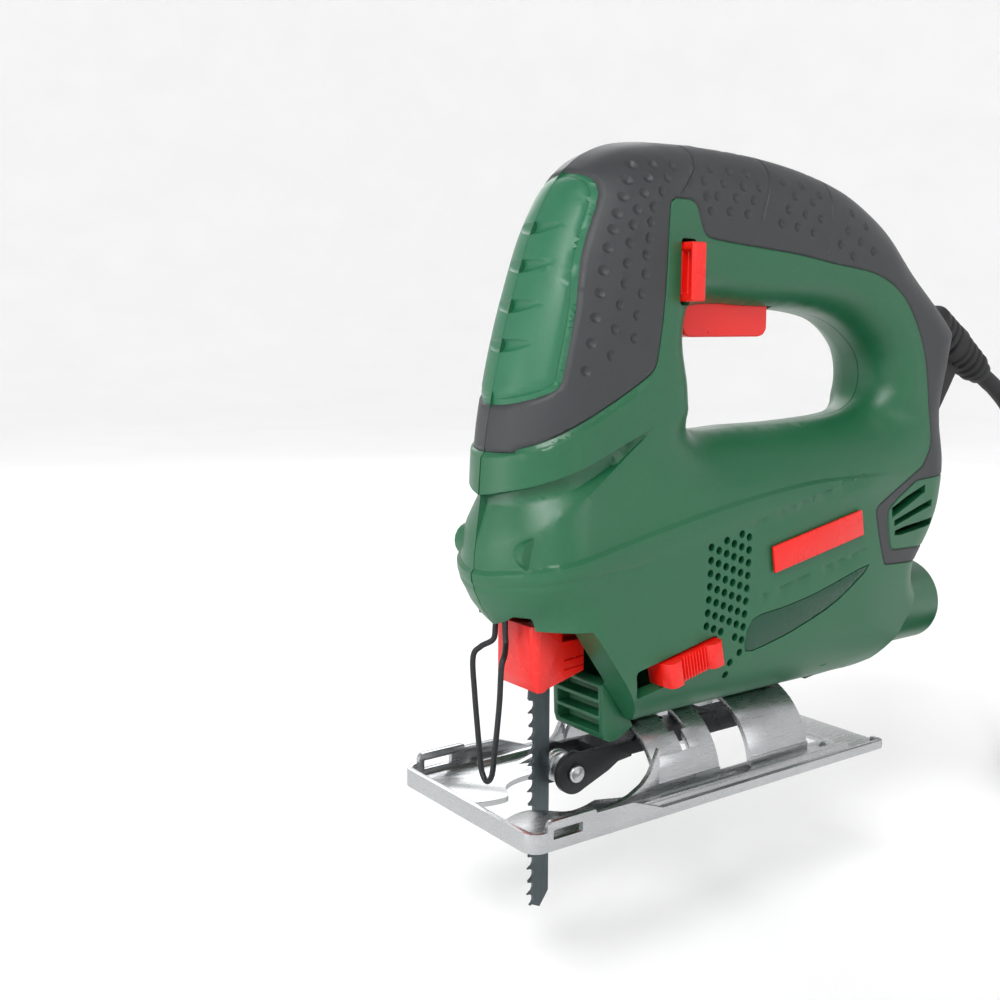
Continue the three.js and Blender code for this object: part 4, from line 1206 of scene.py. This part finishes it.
def tube_mesh(name, points, radius, sides=16):
    """A closed round tube along the points, with flat ends."""
    p = np.array(points, float)
    tangent = np.gradient(p, axis=0)
    tangent /= np.linalg.norm(tangent, axis=1)[:, None]
    side = np.cross(tangent[0], (0.0, 0.0, 1.0))
    if np.linalg.norm(side) < 1e-3:
        side = np.cross(tangent[0], (0.0, 1.0, 0.0))
    verts, faces = [], []
    for i, t in enumerate(tangent):
        side = side - t * np.dot(side, t)
        side /= np.linalg.norm(side)
        up = np.cross(t, side)
        for k in range(sides):
            a = 2 * math.pi * k / sides
            verts.append(tuple(p[i] + radius * (math.cos(a) * side + math.sin(a) * up)))
        if i:
            low, high = (i - 1) * sides, i * sides
            faces += [[low + k, low + (k + 1) % sides, high + (k + 1) % sides, high + k]
                for k in range(sides)]
    faces += [list(range(sides)), list(range((len(p) - 1) * sides, len(p) * sides))]
    return new_mesh(name, verts, faces)


def wire_guard():
    half = [(-19.5, 2.6, 63.8), (-19.5, 2.6, 58), (-19.8, 3.4, 54), (-22.4, 6.4, 51.5), (-24.5, 7.6, 48),
        (-24.5, 6.6, 36), (-24.5, 4.2, 20), (-24.5, 2.8, 12.4)]
    route = half + [(-24.5, 0, 9.6)] + [(x, -y, z) for x, y, z in reversed(half)]
    wire = tube_mesh("guard_wire", smooth(route, 8), 0.92, 18)
    return finish_piece(wire, BLACK_STEEL, "housing", "black_steel", "wire_guard", angle=60)


wire_guard()


# ---- chip nozzle and dust port ----

def chip_nozzle():
    side = [(11.6, 37.5), (12.2, 22), (13.2, 19), (16, 17.6), (19.4, 18.4), (25.4, 21.4), (21, 30), (15, 39)]
    nozzle = side_slab(side, -12.8, 12.8)
    for z in (21, 26.6, 32.2):
        cut(nozzle, block(8, 17.5, -10.6, 10.6, z, z + 4.2))
    bevelled(nozzle, 0.5, 2)
    return finish_piece(nozzle, GREEN, "housing", "green_shell", "chip_nozzle", angle=40)


def dust_port():
    outer, inner, end = 16.1, 13.4, 185
    profile = [(6, 120), (outer, 120), (outer, end - 0.8), (outer - 0.3, end - 0.2), (outer - 0.9, end),
        (inner + 0.9, end), (inner + 0.3, end - 0.2), (inner, end - 0.8), (inner, 121.5), (6, 121.5)]
    return finish_piece(lathe(profile, along_x(0, 41.8), 96), GREEN, "housing", "green_shell", "dust_port",
        angle=50)


chip_nozzle().name = "chip_outlet"
dust_port().name = "dust_spout"


# ---- badge and type plate ----

def badge():
    plate = side_slab([(74, 69.5), (119.8, 78), (118.2, 87.2), (72.6, 78.6)], -28.6, -27.3)
    bevelled(plate, 0.45, 3)
    return finish_piece(plate, RED, "housing", "red_parts", "badge", angle=50)


def type_plate():
    outline = inset(NAME_RECESS, GAP)
    plate = side_slab([tuple(p) for p in outline], -26.85, -26.1)
    bevelled(plate, 0.25, 2)
    return finish_piece(plate, PANEL_GREEN, "housing", "green_shell", "type_plate", angle=50)


badge().name = "side_badge"
type_plate().name = "side_plate"


# ---- trigger, lock, blower slider ----

def trigger():
    side = [(48, 151), (48.6, 149.3), (50, 148.2), (52, 147.9), (84, 147.9), (86.6, 148.5), (88, 150.4),
        (88, 160.5), (82, 164), (48, 164)]
    body = side_slab(side, -8.2, 8.2)
    bevelled(body, 1.2, 4, 28)
    return finish_piece(body, RED, "trigger_body", "red_parts", "trigger", angle=45)


def lock_button():
    body = block(34.4, 40.2, -26, -13.5, 159.2, 177.4)
    cut(body, block(34, 37.4, -24.4, -20.6, 161.5, 175))
    bevelled(body, 0.7, 3)
    return finish_piece(body, RED, "lock", "red_parts", "lock_button", angle=45)


def blower_slider():
    front, rear = 24.6, 49.4
    slider = block(front, rear, -26.6, -20, 39.4, 47.6)
    hump = [(0, -26.2), (0.4, -29.6), (1.6, -30.8), (5, -30.8), (6.4, -29.6), (7, -28), (7, -26.2)]
    for flip in (False, True):
        line = [((rear - x) if flip else (front + x), y) for x, y in hump]
        fuse(slider, plan_slab(line, 39.4, 47.6))
    fuse(slider, block(front + 6, rear - 6, -28.2, -26.3, 39.4, 47.6))
    for rib in range(8):
        x = front + 7.2 + rib * 1.32
        ridge = [(x, -28.1), (x + 0.25, -29.2), (x + 0.6, -29.2), (x + 0.85, -28.1)]
        fuse(slider, plan_slab(ridge, 39.4, 47.6))
    bevelled(slider, 0.25, 2, 40)
    turn(slider, about((SLOT_X, 0, SLOT_Z), "Y", -BLOWER_SLANT))
    return finish_piece(slider, RED, "blower", "red_parts", "blower_slider", angle=40)


trigger().name = "trigger_paddle"
lock_button().name = "lock_knob"
blower_slider().name = "blower_knob"


# ---- screws of the housing ----

def housing_screw(number, x, z):
    head = width_at(x, z) - 3.2
    screw = bar(along_y(x, z), -min(14, head - 1.6), head - 2.2, 1.6, 20, 0.3)
    fuse(screw, bar(along_y(x, z), head - 2.6, head, 3.4, 32, 0.4))
    star = []
    for i in range(12):
        r, a = (1.75, 1.2)[i % 2], 2 * math.pi * i / 12
        star.append((x + r * math.cos(a), z + r * math.sin(a)))
    cut(screw, side_slab(star, head - 1.4, head + 1))
    made = finish_piece(screw, STEEL, "housing", "plain_steel", f"housing_screw_{number}", angle=35)
    made.name = f"case_screw_{number}"


for number, (x, z) in enumerate(SCREWS, 1):
    housing_screw(number, x, z)


# ---- cord ----

CORD_RADIUS = 3.75
BOOT_END = 64
COIL_X, COIL_Y = 325, -22
COIL_RADIUS = 38
OUTER_TURN = 45.5
TURN = 7.5
COIL_TOP = FLOOR + 8 * CORD_RADIUS
TAIL_TURN = 36
TAIL_X, TAIL_Y = COIL_X - 4.45, COIL_Y - 7.7
PLUG_X, PLUG_Y, PLUG_Z = TAIL_X + TAIL_TURN, TAIL_Y + 2.7, COIL_TOP + 12.3
RISE = PLUG_Z - (FLOOR + CORD_RADIUS + 0.05 + 3 * TURN)
RISE_LENGTH = 99
# The winding ends at that many degrees, and its last rise begins shortly before. Each degree of an outer turn
# takes up PER_DEGREE of cord. The tail goes on from its own first angle.
WINDING_END, RISE_START = 3120, 3090
PER_DEGREE = 0.78
TAIL_START = 240
TIE_ANGLE = 155


def strain_relief():
    profile = [(CORD_RADIUS + GAP, 6), (5.8, 6), (5.8, 21.8)]
    rings = [(22.5, 8.8, 2.4), (26.6, 8.6, 2.4), (30.7, 8.4, 2.4), (35.0, 8.3, 5.4), (42.4, 7.6, 2.6),
        (47.0, 7.2, 2.6), (51.6, 6.8, 2.6), (56.2, 6.4, 2.6)]
    for start, radius, wide in rings:
        profile += [(radius - 0.3, start), (radius, start + 0.3), (radius, start + wide - 0.3),
            (radius - 0.3, start + wide), (radius - 1.5, start + wide + 0.3),
            (radius - 1.5, start + wide + 1.3)]
    profile += [(5.3, 60.6), (5, BOOT_END - 0.4), (4.7, BOOT_END), (CORD_RADIUS + GAP, BOOT_END)]
    boot = lathe(profile, on_cord, 48)
    hook = run([(195, 146), (204, 142), (211, 137), (207, 130), (203, 124), (196, 114)], 3)
    hook += run([(196, 114), (193.6, 113.4), (192.5, 116), (193.5, 130), (195, 146)], 3)[1:-1]
    web = side_slab([tuple(p) for p in hook], -2, 2)
    bevelled(web, 0.6, 3)
    cut(web, lathe([(0, 0), (5.5, 0), (5.5, 70), (0, 70)], on_cord, 32))
    fuse(boot, web)
    return finish_piece(boot, RUBBER, "housing", "cord_rubber", "strain_relief", angle=40)


def winding_radius(layers):
    """The radius after that many layers: inwards in one and outwards in the next, with a rounded turn."""
    place, rounding = layers % 2, 0.03
    if 0.5 <= place <= 1.5:
        share = 1 - math.hypot(1 - place, rounding)
    else:
        share = math.hypot((layers + 1) % 2 - 1, rounding)
    return OUTER_TURN - 2 * TURN * share


def cord_route():
    """From the boot down to the floor, eight turns in four layers, and over the top of them to the plug."""
    lead = [
        along_cord(BOOT_END - 1), along_cord(70), (240, 0, 125.3), (250.2, -0.4, 117.5), (257.2, -1.2, 108),
        (261.4, -2.4, 97.3), (262.9, -3, 85.5), (264, -2.6, 62), (265.2, -2, 38), (266.3, -1.6, 14),
        (267.2, -1.7, -8), (267.8, -2, -22), (268.1, -3.3, -31), (268.5, -6.7, -39.2), (269.1, -12.1, -46.1),
        (270, -19.1, -51.4), (271.7, -27.4, -54.9),
    ]
    lowest = FLOOR + CORD_RADIUS + 0.05
    winding = []
    for degrees in range(195, WINDING_END, 15):
        layers = (degrees - 270) / 720
        if degrees < 270:
            z, radius = lowest, OUTER_TURN + 7.6 * (1 - float(ease(degrees, 180, 275)))
        else:
            radius = winding_radius(layers)
            z = lowest + TURN * sum(float(ease(layers, layer - 0.12, layer + 0.06)) for layer in (1, 2, 3))
            z += RISE * float(ease((degrees - RISE_START) * PER_DEGREE, 0, RISE_LENGTH))
        a = math.radians(degrees)
        winding.append((COIL_X + radius * math.cos(a), COIL_Y + radius * math.sin(a), z))
    tail = []
    risen = (WINDING_END - RISE_START) * PER_DEGREE
    for degrees in range(TAIL_START, 361, 15):
        a = math.radians(degrees)
        passed = risen + TAIL_TURN * math.radians(degrees - TAIL_START)
        z = lowest + 3 * TURN + RISE * float(ease(passed, 0, RISE_LENGTH))
        tail.append((TAIL_X + TAIL_TURN * math.cos(a), TAIL_Y + TAIL_TURN * math.sin(a), z))
    return smooth(lead + winding + tail + [(PLUG_X, PLUG_Y - 0.3, PLUG_Z)], 4)


def plug():
    wider = 1.4
    profile = [(0, 0), (4.9, 0), (5.4, 0.5), (5.4, 2.6), (5.0, 3.0), (5.0, 4.2), (5.6, 4.6), (5.8, 7),
        (5.4, 7.4), (5.5, 8.6), (6.2, 9), (6.8, 12.4), (7.4, 15), (9.2, 18.4), (11.2, 21.2), (12, 24),
        (12, 40.4), (11.2, 42), (0, 42)]
    body = lathe(profile, lambda u, v, h: (PLUG_X + wider * u, PLUG_Y + h, PLUG_Z + v), 56)
    for h in (26, 29, 32, 35):
        for side in (-1, 1):
            y, z = PLUG_Y + h, PLUG_Z + side * 11.2
            fuse(body, block(PLUG_X - 7, PLUG_X + 7, y, y + 1.3, z - 0.7, z + 0.7))
    return finish_piece(body, RUBBER, "housing", "cord_rubber", "plug_body", angle=40)


def plug_pin(number, x):
    profile = [(0, 0), (2.4, 0), (2.4, 7.4), (2.3, 7.6), (2.3, 17), (1.8, 18.3), (0.9, 19), (0, 19)]
    pin = lathe([(r, PLUG_Y + 42.3 + h) for r, h in profile], along_y(x, PLUG_Z), 32)
    return finish_piece(pin, BRASS, "housing", "brass", f"plug_pin_{number}", angle=50)


def coil_tie():
    clear, wide = 12.15, 4
    low, high = COIL_RADIUS - clear, COIL_RADIUS + clear
    outer = rounded_box(low - 1.8, high + 1.8, FLOOR, COIL_TOP + GAP + 1.8, 2.4, 6)
    hole = rounded_box(low, high, FLOOR + 0.05, COIL_TOP + GAP, 1.6, 6)
    tie = cut(side_slab(outer, -wide, wide), side_slab(hole, -wide - 1, wide + 1))
    bevelled(tie, 0.4, 2)
    turned = Matrix.Rotation(math.radians(TIE_ANGLE), 4, "Z")
    turn(tie, Matrix.Translation(Vector((COIL_X, COIL_Y, 0)) * MM) @ turned)
    return finish_piece(tie, BLACK, "housing", "black_plastic", "coil_tie", angle=40)


strain_relief().name = "cord_boot"
ROUTE = cord_route()
mains = tube_curve("mains_cord", ROUTE, CORD_RADIUS)
mains.data.materials.append(RUBBER)
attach(mains, "housing")
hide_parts("cord_lead", "cord_coil", "cord_tail")
plug_piece = plug()
plug_piece.name = "mains_plug"
pins = [plug_pin(1, PLUG_X - 9.5), plug_pin(2, PLUG_X + 9.5)]
pins[0].name, pins[1].name = "mains_pin_1", "mains_pin_2"
tie_piece = coil_tie()
tie_piece.name = "cord_tie"


# ---- inner pieces that keep their CAD shape ----

INNER = {
    "gear_frame": CAST, "lower_bush": BRONZE, "upper_bush": BRONZE, "gear_axle": STEEL, "drive_gear": STEEL,
    "crank_pin": STEEL, "balance_weight": STEEL, "pinion": STEEL, "armature_shaft": STEEL,
    "front_bearing": STEEL, "rear_bearing": STEEL, "cooling_fan": BLACK, "armature_core": STEEL,
    "commutator": COPPER, "field_core": STEEL, "front_coil": COPPER, "rear_coil": COPPER,
    "brush_holder_left": BRASS, "brush_holder_right": BRASS, "trigger_spring": STEEL,
    "switch_module": BLACK,
}
for name, material in INNER.items():
    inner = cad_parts[name]
    for spot in inner.material_slots:
        spot.material = material
    if not inner.material_slots:
        inner.data.materials.append(material)


# ---- camera, light and floor ----

CAMERA_AT = (-239.4, -303.63, 153.56)
LENS = 44.47
RIGHT = (0.8105, -0.5857, 0.0037)
DOWN = (-0.0819, -0.1195, -0.9894)
AHEAD = (0.58, 0.8017, -0.1449)


def place_camera():
    data = bpy.data.cameras.new("camera")
    data.lens = LENS
    data.sensor_width = 36
    data.clip_start = 0.01
    camera = bpy.data.objects.new("camera", data)
    scene.collection.objects.link(camera)
    axes = Matrix((RIGHT, [-c for c in DOWN], [-c for c in AHEAD])).transposed()
    camera.matrix_world = Matrix.Translation(Vector(CAMERA_AT) * MM) @ axes.to_4x4()
    scene.camera = camera


def area_light(name, at, target, size, power):
    data = bpy.data.lights.new(name, "AREA")
    data.energy = power
    data.size = size
    light = bpy.data.objects.new(name, data)
    scene.collection.objects.link(light)
    light.location = at
    light.rotation_euler = (Vector(target) - Vector(at)).to_track_quat("-Z", "Y").to_euler()


def studio():
    world = bpy.data.worlds.new("studio")
    world.use_nodes = True
    world.node_tree.nodes["Background"].inputs["Color"].default_value = (1, 1, 1, 1)
    world.node_tree.nodes["Background"].inputs["Strength"].default_value = 0.5
    scene.world = world
    middle = (0.07, 0, 0.09)
    area_light("key", (-0.75, -0.55, 0.95), middle, 0.45, 10)
    area_light("side", (0.35, -1.1, 0.55), middle, 0.6, 1.6)
    area_light("back", (0.5, 0.9, 0.8), middle, 0.8, 5)
    area_light("nose", (-0.9, 0.1, 0.25), (0, 0, 0.1), 0.4, 1.8)
    for turned in range(6):
        a = math.radians(60 * turned + 24)
        at = (1.3 * math.cos(a), 1.3 * math.sin(a), 1.9)
        area_light(f"wall_{turned}", at, (3.1 * math.cos(a), 3.1 * math.sin(a), 0.5), 1.0, 13)
    level, bend = 2200, 1500
    sweep = [(0, 0), *arc(level, bend, bend, -90, 0, 9), (level + bend, 2600)]
    floor = lathe([(r, FLOOR + h) for r, h in sweep], along_z(0, 0), 64, False)
    floor.name = "floor"
    floor.data.polygons.foreach_set("use_smooth", [True] * len(floor.data.polygons))
    paper, tree, shade = shader("floor_paper", (0.9, 0.9, 0.9), 0.8)
    tone = ramp(tree, noise(tree, 6, 2.0), [(0.3, grey(0.89)), (0.7, grey(0.91))])
    tree.links.new(tone, shade.inputs["Base Color"])
    floor.data.materials.append(paper)


place_camera()
studio()
scene.view_settings.view_transform = "Standard"
